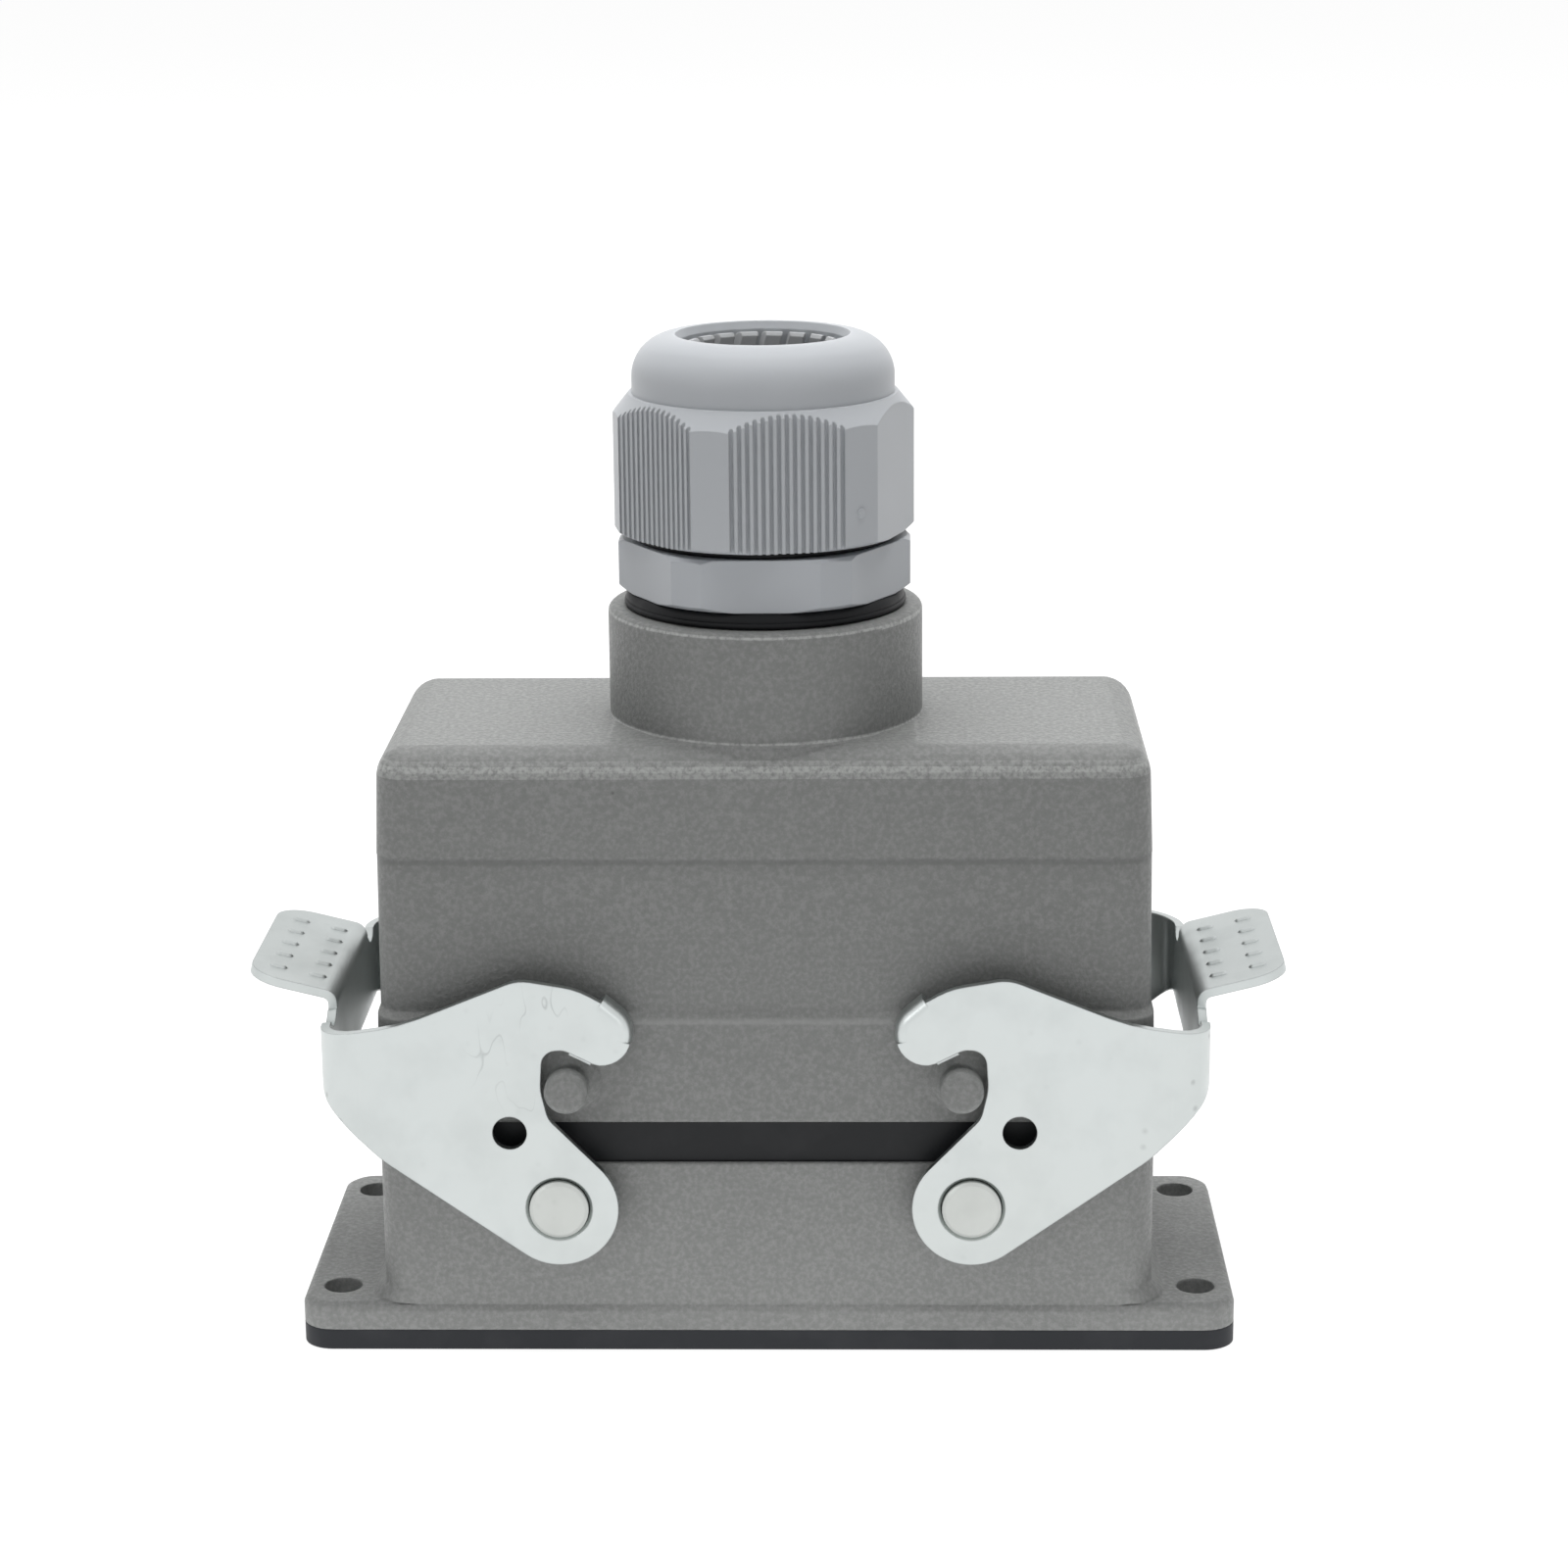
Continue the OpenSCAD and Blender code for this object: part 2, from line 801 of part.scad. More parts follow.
module gland_body() {
    color([0.6, 0.61, 0.63])
    difference() {
        union() {
            intersection() {
                translate([0, 0, hex_z])
                    blunt_hexagon(hex_af, hex_af / 2 + 1.3, hex_h);
                hexagon_rounding(hex_af / 2 + 1.5, hex_z, hex_h);
            }
            translate([0, 0, collar_top_z - shank_len])
                cylinder(d = entry_d, h = shank_len + washer_t + hex_h / 2);
            translate([0, 0, hex_z + hex_h / 2])
                cylinder(r = sleeve_r, h = sleeve_top_z - hex_z - hex_h / 2);
        }
        translate([0, 0, collar_top_z - shank_len - over])
            cylinder(r = gland_bore_r, h = 2 * shank_len + hex_h + over);
        translate([0, 0, claw_z])
            cylinder(r = claw_r + screw_gap, h = sleeve_top_z);
    }
}

// Turned form that takes the sharp corners off a hexagon's two ends, more at the lower one
module hexagon_rounding(r, z, h) {
    translate([0, 0, z])
        rotate_extrude()
            polygon([[0, 0], [r - 1.2, 0], [r + 0.4, 0.9], [r + 0.4, h - 0.9], [r - 0.6, h], [0, h]]);
}

// Ring of fingers, cut from one turned form
module clamping_claw() {
    color([0.72, 0.73, 0.74])
    difference() {
        rotate_extrude()
            polygon([
                [claw_r - claw_wall, claw_z],
                [claw_r, claw_z],
                [claw_r, sleeve_top_z],
                [mouth_d / 2 - 0.5, cone_z + 4.6],
                [mouth_d / 2 - 0.5, claw_top_z - 0.4],
                [mouth_d / 2 - 0.9, claw_top_z],
                [mouth_d / 2 - 1.3, claw_top_z],
                [mouth_d / 2 - 1.6, claw_top_z - 0.4],
                [mouth_d / 2 - 1.6, cone_z + 4],
                [claw_r - claw_wall, sleeve_top_z - 0.8],
            ]);
        for (i = [0 : finger_count - 1])
            rotate(i * 360 / finger_count)
                translate([mouth_d / 2 - 3, 0, claw_z + 5])
                    rotate([finger_slant, 0, 0])
                        translate([0, -0.4, 0])
                            cube([sleeve_r, 0.8, nut_h + 2]);
    }
}

module cable_seal() {
    color([0.3, 0.29, 0.27])
    rotate_extrude() {
        r = claw_r - claw_wall - 0.1;
        polygon([
            [cable_d / 2, claw_z],
            [r, claw_z],
            [r, sleeve_top_z - 1.2],
            [cable_d / 2 + 0.6, sleeve_top_z + 0.6],
            [cable_d / 2, sleeve_top_z + 0.6],
        ]);
    }
}

module gland_nut() {
    color([0.6, 0.61, 0.63])
    rotate(nut_turn)
        difference() {
            union() {
                nut_flats();
                nut_dome();
            }
            translate([0, 0, nut_z - over])
                cylinder(r = nut_bore_r, h = cone_z - nut_z + over);
            translate([0, 0, cone_z - 0.01])
                cylinder(r1 = nut_bore_r, r2 = mouth_d / 2, h = 5.2);
            translate([0, 0, cone_z + 5])
                cylinder(d = mouth_d, h = nut_h);
            translate([0, 0, nut_top_z - 1])
                cylinder(r1 = mouth_d / 2 - 0.05, r2 = mouth_d / 2 + 0.5, h = 1.1);
        }
}

// The six flats, with fine upright grooves on four of them
module nut_flats() {
    h = 16.4;
    difference() {
        intersection() {
            translate([0, 0, nut_z])
                blunt_hexagon(nut_af, nut_af / 2 + 1.1, h);
            translate([0, 0, nut_z])
                rotate_extrude()
                    polygon([
                        [0, 0],
                        [nut_af / 2 + 0.2, 0],
                        [nut_af / 2 + 2, 0.8],
                        [nut_af / 2 + 2, h - 3.2],
                        [nut_af / 2 - 0.6, h],
                        [0, h],
                    ]);
        }
        for (face = [0, 1, 3, 4], i = [-7 : 7])
            rotate(-90 - 60 * face)
                translate([nut_af / 2 - 0.15, i * 0.92, nut_z - over])
                    cylinder(r = 0.27, h = h + 2, $fn = 8);
    }
}

// Round crown, from the flats to the mouth
module nut_dome() {
    r = nut_af / 2 - 1;
    round_r = 4.9;
    base = nut_z + 10;
    rotate_extrude() {
        translate([0, base])
            square([r, nut_top_z - round_r - base]);
        translate([0, base])
            square([r - round_r, nut_top_z - base]);
        translate([r - round_r, nut_top_z - round_r])
            circle(round_r);
    }
}

// ---------------------------------------------------------------- socket insert, in the base

module female_insert() {
    color([0.2, 0.2, 0.21])
    difference() {
        union() {
            translate([-block_hl, -block_hd, socket_plate_z - block_h])
                cube([2 * block_hl, 2 * block_hd, block_h]);
            insert_plate(socket_plate_z);
            translate([0, 0, socket_plate_z])
                linear_extrude(socket_top_z - socket_plate_z)
                    rounded_rect(tower_hl, tower_hd, 1.5);
        }
        at_contacts() {
            cage_pocket(socket_plate_z - block_h);
            translate([0, 0, socket_plate_z - over])
                cylinder(r = socket_r + screw_gap, h = socket_top_z - socket_plate_z);
            translate([0, 0, socket_top_z - 2])
                cylinder(r = contact_r + 0.3, h = 3);
        }
        four(screw_x, screw_y)
            translate([0, 0, socket_plate_z - over])
                cylinder(r = m4_r + 0.1, h = insert_plate_t + 2 * over);
        for (sx = [-1, 1])
            translate([sx * earth_screw_x, 0, socket_plate_z - over])
                cylinder(r = clamp_screw_r + screw_gap, h = insert_plate_t + 2 * over);
    }
}

// End-to-end plate of an insert, whose ends are screwed to the housing
module insert_plate(z) {
    translate([0, 0, z])
        linear_extrude(insert_plate_t)
            rounded_rect(insert_hl, insert_hd, 1.5);
}

// Hollow for one contact's clamp and the way in for its screwdriver
module cage_pocket(block_z) {
    translate([-cage[0] / 2 - 0.1, -cage[1] / 2 - 0.1, block_z - over])
        cube([cage[0] + 0.2, cage[1] + 0.2, block_h + over]);
    translate([0, 0, block_z + block_h / 2])
        y_bar(2.1, 0, block_hd);
}

module female_contacts() {
    color([0.8, 0.68, 0.36])
    at_contacts() {
        difference() {
            translate([0, 0, socket_plate_z - over])
                cylinder(r = socket_r, h = socket_top_z - 1.5 - socket_plate_z);
            translate([0, 0, pin_tip_z() - over])
                cylinder(r = contact_r + 0.08, h = socket_top_z);
        }
        translate([0, 0, socket_plate_z - block_h + 1])
            contact_cage();
    }
}

// Clamp of one contact: a block with the wire's bore and the screw's hole
module contact_cage() {
    difference() {
        translate([-cage[0] / 2, -cage[1] / 2, 0])
            cube(cage);
        translate([0, 0, -over])
            cylinder(r = cage_bore_r, h = 9 + over);
        translate([0, 0, block_h / 2 - 1])
            y_bar(clamp_screw_r + screw_gap, 0, cage[1]);
    }
}

// Slotted clamp screws, at the middle of a terminal block
module terminal_screws(block_z) {
    at_contacts()
        translate([0, 0, block_z + block_h / 2])
            difference() {
                y_bar(clamp_screw_r, cage_bore_r + 0.1, cage[1] / 2 + 2);
                translate([-clamp_screw_r - over, cage[1] / 2 + 1.3, -0.25])
                    cube([2 * clamp_screw_r + 2 * over, 2, 0.5]);
            }
}

module female_terminal_screws() {
    color([0.75, 0.76, 0.77])
    terminal_screws(socket_plate_z - block_h);
}

// Earth plate under two screw heads, with its blade; drawn for +X with its plate at z = 0
module earth_contact(blade_x, blade_h) {
    plate_hd = screw_y + 2.4;
    difference() {
        union() {
            translate([earth_x, -plate_hd, 0])
                cube([insert_hl - earth_x, 2 * plate_hd, earth_t]);
            translate([blade_x, -3, 0])
                cube([earth_t, 6, blade_h]);
        }
        for (sy = [-1, 1])
            translate([screw_x, sy * screw_y, -over])
                cylinder(r = m4_r + 0.1, h = earth_t + 2 * over);
        translate([earth_screw_x, 0, -over])
            cylinder(r = clamp_screw_r + screw_gap, h = earth_t + 2 * over);
    }
}

module female_earth_contacts() {
    color([0.78, 0.78, 0.76])
    both_ends()
        translate([0, 0, socket_plate_z + insert_plate_t])
            earth_contact(earth_x, 14);
}

module male_earth_contacts() {
    color([0.78, 0.78, 0.76])
    both_ends()
        translate([0, 0, pin_plate_z])
            mirror([0, 0, 1])
                earth_contact(earth_x + earth_t + 0.1, 14);
}

// Pan head screw with its head's seat at z = 0 and its shank going down
module pan_screw(r, head_r, head_h, len) {
    translate([0, 0, -len])
        cylinder(r = r - screw_gap, h = len + head_h / 2);
    difference() {
        union() {
            cylinder(r = head_r, h = head_h * 0.6);
            translate([0, 0, head_h * 0.6])
                cylinder(r1 = head_r, r2 = head_r - 0.8, h = head_h * 0.4);
        }
        translate([-head_r - over, -0.4, head_h * 0.55])
            cube([2 * head_r + 2 * over, 0.8, head_h]);
    }
}

module female_earth_screws() {
    color([0.75, 0.76, 0.77])
    both_ends()
        translate([earth_screw_x, 0, socket_plate_z + insert_plate_t + earth_t])
            pan_screw(clamp_screw_r + screw_gap, 2.2, 1.8, earth_t + insert_plate_t - 0.2);
}

module male_earth_screws() {
    color([0.75, 0.76, 0.77])
    both_ends()
        translate([earth_screw_x, 0, pin_plate_z - earth_t])
            mirror([0, 0, 1])
                pan_screw(clamp_screw_r + screw_gap, 2.2, 1.8, earth_t + insert_plate_t - 0.2);
}

module female_mounting_screws() {
    color([0.75, 0.76, 0.77])
    four(screw_x, screw_y)
        translate([0, 0, socket_plate_z + insert_plate_t + earth_t])
            pan_screw(m4_r, m4_head_r, 2.4, 12);
}

// ---------------------------------------------------------------- pin insert, in the hood

module male_insert() {
    block_z = pin_plate_z + insert_plate_t;
    foot_z = socket_plate_z + insert_plate_t + 1.5;
    color([0.2, 0.2, 0.21])
    difference() {
        union() {
            translate([-block_hl, -block_hd, block_z])
                cube([2 * block_hl, 2 * block_hd, block_h]);
            insert_plate(pin_plate_z);
            translate([0, 0, foot_z])
                linear_extrude(pin_plate_z - foot_z)
                    difference() {
                        rounded_rect(tower_hl + shroud_gap + shroud_wall,
                            tower_hd + shroud_gap + shroud_wall, 3);
                        rounded_rect(tower_hl + shroud_gap, tower_hd + shroud_gap, 1.9);
                    }
        }
        at_contacts() {
            translate([0, 0, 2 * block_z + block_h])
                mirror([0, 0, 1])
                    cage_pocket(block_z);
            translate([0, 0, pin_plate_z - over])
                cylinder(r = socket_r + screw_gap, h = insert_plate_t + 2 * over);
        }
        four(screw_x, screw_y)
            translate([0, 0, pin_plate_z - over])
                cylinder(r = m4_r + 0.1, h = insert_plate_t + 2 * over);
        for (sx = [-1, 1])
            translate([sx * earth_screw_x, 0, pin_plate_z - over])
                cylinder(r = clamp_screw_r + screw_gap, h = insert_plate_t + 2 * over);
    }
}

// Where the pins' tips stand in the sockets
function pin_tip_z() = socket_plate_z + insert_plate_t + 6;

module male_contacts() {
    block_z = pin_plate_z + insert_plate_t;
    color([0.8, 0.68, 0.36])
    at_contacts() {
        translate([0, 0, pin_tip_z() + contact_r])
            cylinder(r = contact_r, h = pin_plate_z - pin_tip_z());
        translate([0, 0, pin_tip_z() + contact_r])
            sphere(contact_r, $fn = 24);
        translate([0, 0, pin_plate_z + 0.2])
            cylinder(r = socket_r, h = insert_plate_t + 1.8);
        translate([0, 0, 2 * block_z + block_h - 1])
            mirror([0, 0, 1])
                translate([0, 0, block_z])
                    contact_cage();
    }
}

module male_terminal_screws() {
    color([0.75, 0.76, 0.77])
    terminal_screws(pin_plate_z + insert_plate_t);
}

module male_mounting_screws() {
    color([0.75, 0.76, 0.77])
    four(screw_x, screw_y)
        translate([0, 0, pin_plate_z - earth_t])
            mirror([0, 0, 1])
                pan_screw(m4_r, m4_head_r, 2.4, 12);
}

// ---------------------------------------------------------------- the connector

flange_gasket();
base_housing();
housing_seal();
lever_pivot_pins();
left_locking_lever();
right_locking_lever();
cable_hood();
gland_washer();
gland_body();
clamping_claw();
cable_seal();
gland_nut();
female_insert();
female_contacts();
female_terminal_screws();
female_earth_contacts();
female_earth_screws();
female_mounting_screws();
male_insert();
male_contacts();
male_terminal_screws();
male_earth_contacts();
male_earth_screws();
male_mounting_screws();
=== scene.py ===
"""Finishes, small fittings, stage and camera for a heavy duty rectangular connector."""

import json
import logging
import math
from dataclasses import dataclass, field
from enum import Enum
from typing import Any

import bmesh
import bpy
from mathutils import Matrix, Vector

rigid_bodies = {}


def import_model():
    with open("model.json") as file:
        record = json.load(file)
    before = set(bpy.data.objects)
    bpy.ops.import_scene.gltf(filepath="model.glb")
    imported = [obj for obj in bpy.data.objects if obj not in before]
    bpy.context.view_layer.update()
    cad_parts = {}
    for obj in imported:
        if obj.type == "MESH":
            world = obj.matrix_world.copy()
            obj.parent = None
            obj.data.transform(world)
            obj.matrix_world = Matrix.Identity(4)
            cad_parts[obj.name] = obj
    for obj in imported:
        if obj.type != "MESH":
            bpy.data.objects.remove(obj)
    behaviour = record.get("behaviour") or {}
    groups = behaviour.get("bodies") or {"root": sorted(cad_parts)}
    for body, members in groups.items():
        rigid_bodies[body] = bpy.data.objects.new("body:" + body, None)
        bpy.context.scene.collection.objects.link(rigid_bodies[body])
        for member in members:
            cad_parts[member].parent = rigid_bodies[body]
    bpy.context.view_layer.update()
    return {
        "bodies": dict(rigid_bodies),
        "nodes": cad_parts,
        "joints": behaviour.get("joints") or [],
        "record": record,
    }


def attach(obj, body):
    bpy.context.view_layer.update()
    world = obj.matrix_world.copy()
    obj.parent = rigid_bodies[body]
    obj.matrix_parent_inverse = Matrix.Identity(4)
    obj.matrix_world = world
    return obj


log = logging.getLogger("connector")

MM = 0.001
FULL_TURN = 2 * math.pi

Colour = tuple[float, float, float]
Point = tuple[float, float, float]
Span = tuple[float, float]
Socket = bpy.types.NodeSocket

WHITE: Colour = (1.0, 1.0, 1.0)


class Body(str, Enum):
    """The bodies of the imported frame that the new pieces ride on."""

    HOUSING = "housing"
    CAP_NUT = "cap_nut"


class Look(str, Enum):
    """The finishes, under the record's slot names where it has them."""

    CAST_GREY = "cast_grey"
    ZINC_STEEL = "zinc_steel"
    BLACK_RUBBER = "black_rubber"
    SEAL_RUBBER = "seal_rubber"
    GASKET_RUBBER = "gasket_rubber"
    RING_RUBBER = "ring_rubber"
    GREY_NYLON = "grey_nylon"
    LIGHT_NYLON = "light_nylon"
    DARK_PLASTIC = "dark_plastic"
    CONTACT_BRASS = "contact_brass"
    SCREW_STEEL = "screw_steel"
    EARTH_STEEL = "earth_steel"
    PIN_STEEL = "pin_steel"
    THREADED_NYLON = "threaded_nylon"


class Effect(str, Enum):
    """The surface effects that several finishes share."""

    SOFT_EDGES = "soft_edges"
    GRAIN = "grain"
    BLOTCHES = "blotches"
    HAIRLINES = "hairlines"
    SPECKS = "specks"


# ---------------------------------------------------------------- shader trees


class ShaderTree:
    """Adds nodes to one shader tree and joins them.

    A spot's mask and a line's are full over a core, which is a share of their reach.
    """

    SPOT_CORE = 0.35
    LINE_CORE = 0.4

    def __init__(self, tree: bpy.types.NodeTree) -> None:
        """Takes the tree that the nodes go into."""
        self.tree = tree

    def node(self, kind: str, inputs: dict | None = None, **settings: Any) -> bpy.types.Node:
        """Adds one node.

        Args:
            kind: the node's type name.
            inputs: a value or another node's output for each input, by its name or place.
            settings: the node's own settings.

        Returns:
            The new node.
        """
        made = self.tree.nodes.new(kind)
        for name, value in settings.items():
            setattr(made, name, value)
        for key, value in (inputs or {}).items():
            self.give(made, key, value)
        return made

    def give(self, node: bpy.types.Node, key: str | int, value: Any) -> None:
        """Sets one of a node's inputs, or joins another node's output to it.

        Args:
            node: the node.
            key: the input's name or place.
            value: a constant, a colour or an output.
        """
        if isinstance(value, Socket):
            self.tree.links.new(value, node.inputs[key])
        elif node.inputs[key].type == "RGBA" and len(value) == 3:
            node.inputs[key].default_value = (*value, 1.0)
        else:
            node.inputs[key].default_value = value

    def math(self, operation: str, a: Any, b: Any = 0.0, clamp: bool = False) -> Socket:
        """Adds a Math node on a and b, and returns its output."""
        made = self.node("ShaderNodeMath", {0: a, 1: b}, operation=operation, use_clamp=clamp)
        return made.outputs[0]

    def times(self, a: Any, b: Any) -> Socket:
        """Returns the product of a and b."""
        return self.math("MULTIPLY", a, b)

    def span(self, value: Socket, low: float, high: float, to_low: Any, to_high: Any) -> Socket:
        """Maps a value from one span to another.

        Args:
            value: the output to map.
            low: the span's low end.
            high: the span's high end.
            to_low: what the low end becomes.
            to_high: what the high end becomes.

        Returns:
            The mapped output, held between the two ends.
        """
        ends = {"From Min": low, "From Max": high, "To Min": to_low, "To Max": to_high}
        return self.node("ShaderNodeMapRange", {"Value": value, **ends}).outputs["Result"]

    def blend(self, amount: Any, a: Any, b: Any) -> Socket:
        """Mixes colour a to colour b by an amount, and returns the mixed colour."""
        made = self.node("ShaderNodeMix", {0: amount, 6: a, 7: b}, data_type="RGBA")
        return made.outputs[2]

    def marked(self, colour: Any, mask: Socket, share: float, ink: Colour) -> Socket:
        """Lays a mark over a colour.

        Args:
            colour: the colour under the mark.
            mask: where the mark is.
            share: how much of the mark's colour shows where the mask is 1.
            ink: the mark's colour.

        Returns:
            The marked colour.
        """
        return self.blend(self.times(mask, share), colour, ink)

    def near(self, spot: Point, reach: float) -> Socket:
        """Masks what lies near a spot.

        Args:
            spot: the spot, in millimetres.
            reach: how far from it the mask fades out, in millimetres.

        Returns:
            1 at the spot, falling to 0 at its reach.
        """
        centre = tuple(value * MM for value in spot)
        off = self.node("ShaderNodeVectorMath", {0: self.place(), 1: centre}, operation="DISTANCE")
        return self.span(off.outputs["Value"], reach * MM * self.SPOT_CORE, reach * MM, 1.0, 0.0)

    def level(self, height: Socket, at: float, reach: float) -> Socket:
        """Masks a thin band about one value of a height or a slope.

        Args:
            height: the output to compare.
            at: the value in the band's middle.
            reach: how far from it the mask fades out.

        Returns:
            1 on the band, falling to 0 at its reach.
        """
        off = self.math("ABSOLUTE", self.math("SUBTRACT", height, at))
        return self.span(off, reach * self.LINE_CORE, reach, 1.0, 0.0)

    def place(self) -> Socket:
        """Adds the piece's own coordinates, and returns them."""
        return self.node("ShaderNodeTexCoord").outputs["Object"]

    def axes(self, vector: Socket) -> Any:
        """Splits a vector, and returns its three outputs, by axis."""
        return self.node("ShaderNodeSeparateXYZ", {0: vector}).outputs

    def stretched(self, vector: Socket, scale: Point, turn: Point = (0.0, 0.0, 0.0)) -> Socket:
        """Turns and stretches coordinates, and returns them."""
        made = self.node("ShaderNodeMapping", {"Vector": vector, "Scale": scale, "Rotation": turn})
        return made.outputs["Vector"]

    def noise(self, vector: Socket, scale: Any, detail: float, rough: float = 0.5) -> Socket:
        """Adds a noise over the coordinates, and returns its value."""
        shape = {"Scale": scale, "Detail": detail, "Roughness": rough}
        return self.node("ShaderNodeTexNoise", {"Vector": vector, **shape}).outputs["Fac"]


class EffectLibrary:
    """Builds each shared effect once, as a node group, and places it in materials.

    The finer grain's scale is a ratio of the grain's own. Hairlines follow one level of a
    turned and stretched noise, and a second noise with a scale and a contrast breaks them.
    """

    EDGE_SAMPLES = 6
    FINE_RATIO = 2.7
    LINE_STRETCH: Point = (1.0, 1.0, 0.35)
    LINE_TURN: Point = (0.5, 0.3, 0.0)
    LINE_LEVEL = 0.5
    BREAK_SCALE = 55.0
    BREAK_CONTRAST = 14.0

    def __init__(self) -> None:
        """Builds every effect's group."""
        self.groups = {
            Effect.SOFT_EDGES: self._soft_edges(),
            Effect.GRAIN: self._grain(),
            Effect.BLOTCHES: self._blotches(),
            Effect.HAIRLINES: self._hairlines(),
            Effect.SPECKS: self._specks(),
        }

    def place(self, tree: ShaderTree, effect: Effect, **inputs: float) -> bpy.types.Node:
        """Places an effect in a material.

        Args:
            tree: the material's tree.
            effect: the effect to place.
            inputs: its values, by input name.

        Returns:
            The group's node.
        """
        return tree.node("ShaderNodeGroup", inputs, node_tree=self.groups[effect])

    def value(self, tree: ShaderTree, effect: Effect, **inputs: float) -> Socket:
        """Places an effect that has one output, and returns that output."""
        return self.place(tree, effect, **inputs).outputs[0]

    @staticmethod
    def _group(
        name: str, numbers: tuple[str, ...], outputs: dict[str, str]
    ) -> tuple[ShaderTree, Any, bpy.types.Node]:
        """Starts a node group.

        Args:
            name: the group's name.
            numbers: the names of its number inputs.
            outputs: its outputs with their socket types.

        Returns:
            The group's tree, the outputs of its input node, and its output node.
        """
        group = bpy.data.node_groups.new(name, "ShaderNodeTree")
        for key in numbers:
            group.interface.new_socket(key, in_out="INPUT", socket_type="NodeSocketFloat")
        for key, kind in outputs.items():
            group.interface.new_socket(key, in_out="OUTPUT", socket_type=kind)
        tree = ShaderTree(group)
        return tree, tree.node("NodeGroupInput").outputs, tree.node("NodeGroupOutput")

    def _soft_edges(self) -> bpy.types.NodeTree:
        """Rounds sharp edges in the shading, and masks them.

        Returns:
            The group.
        """
        tree, given, out = self._group(
            "soft_edges",
            ("Radius", "Gain"),
            {"Normal": "NodeSocketVector", "Edge": "NodeSocketFloat"},
        )
        radius = {"Radius": given["Radius"]}
        bevel = tree.node("ShaderNodeBevel", radius, samples=self.EDGE_SAMPLES).outputs[0]
        flat = tree.node("ShaderNodeNewGeometry").outputs["Normal"]
        dot = tree.node("ShaderNodeVectorMath", {0: bevel, 1: flat}, operation="DOT_PRODUCT")
        off = tree.math("SUBTRACT", 1.0, dot.outputs["Value"])
        tree.give(out, "Normal", bevel)
        tree.give(out, "Edge", tree.math("MULTIPLY", off, given["Gain"], clamp=True))
        return tree.tree

    def _grain(self) -> bpy.types.NodeTree:
        """Lays a fine even grain, as on paint, rubber and moulded plastic.

        Returns:
            The group.
        """
        tree, given, out = self._group("grain", ("Scale", "Fine"), {"Height": "NodeSocketFloat"})
        place = tree.place()
        coarse = tree.noise(place, given["Scale"], detail=1.5, rough=0.45)
        fine = tree.noise(place, tree.times(given["Scale"], self.FINE_RATIO), detail=1.0)
        share = tree.times(fine, given["Fine"])
        tree.give(out, "Height", tree.math("ADD", coarse, share))
        return tree.tree

    def _blotches(self) -> bpy.types.NodeTree:
        """Masks wide soft patches.

        Returns:
            The group.
        """
        tree, given, out = self._group(
            "blotches", ("Scale", "Low", "High"), {"Mask": "NodeSocketFloat"}
        )
        noise = tree.noise(tree.place(), given["Scale"], detail=3.0, rough=0.55)
        spread = tree.math("SUBTRACT", given["High"], given["Low"])
        raised = tree.math("SUBTRACT", noise, given["Low"])
        tree.give(out, "Mask", tree.math("DIVIDE", raised, spread, clamp=True))
        return tree.tree

    def _hairlines(self) -> bpy.types.NodeTree:
        """Masks thin broken lines, as in plating that was bent or scratched.

        Returns:
            The group.
        """
        tree, given, out = self._group(
            "hairlines", ("Scale", "Width", "Share"), {"Mask": "NodeSocketFloat"}
        )
        place = tree.place()
        drawn = tree.stretched(place, self.LINE_STRETCH, self.LINE_TURN)
        noise = tree.noise(drawn, given["Scale"], detail=1.2)
        off = tree.math("ABSOLUTE", tree.math("SUBTRACT", noise, self.LINE_LEVEL))
        line = tree.math("SUBTRACT", 1.0, tree.math("DIVIDE", off, given["Width"]), clamp=True)
        broken = tree.noise(place, self.BREAK_SCALE, detail=2.0)
        over = tree.math("SUBTRACT", broken, given["Share"])
        kept = tree.math("MULTIPLY", over, self.BREAK_CONTRAST, clamp=True)
        tree.give(out, "Mask", tree.times(line, kept))
        return tree.tree

    def _specks(self) -> bpy.types.NodeTree:
        """Masks small scattered dots.

        Returns:
            The group.
        """
        tree, given, out = self._group(
            "specks", ("Scale", "Size", "Share"), {"Mask": "NodeSocketFloat"}
        )
        spots = {"Vector": tree.place(), "Scale": given["Scale"]}
        cells = tree.node("ShaderNodeTexVoronoi", spots).outputs
        off = tree.math("DIVIDE", cells["Distance"], given["Size"])
        dot = tree.math("SUBTRACT", 1.0, off, clamp=True)
        pick = tree.node("ShaderNodeSeparateColor", {"Color": cells["Color"]}).outputs[0]
        chosen = tree.math("LESS_THAN", pick, given["Share"])
        tree.give(out, "Mask", tree.times(dot, chosen))
        return tree.tree


# ---------------------------------------------------------------- finishes


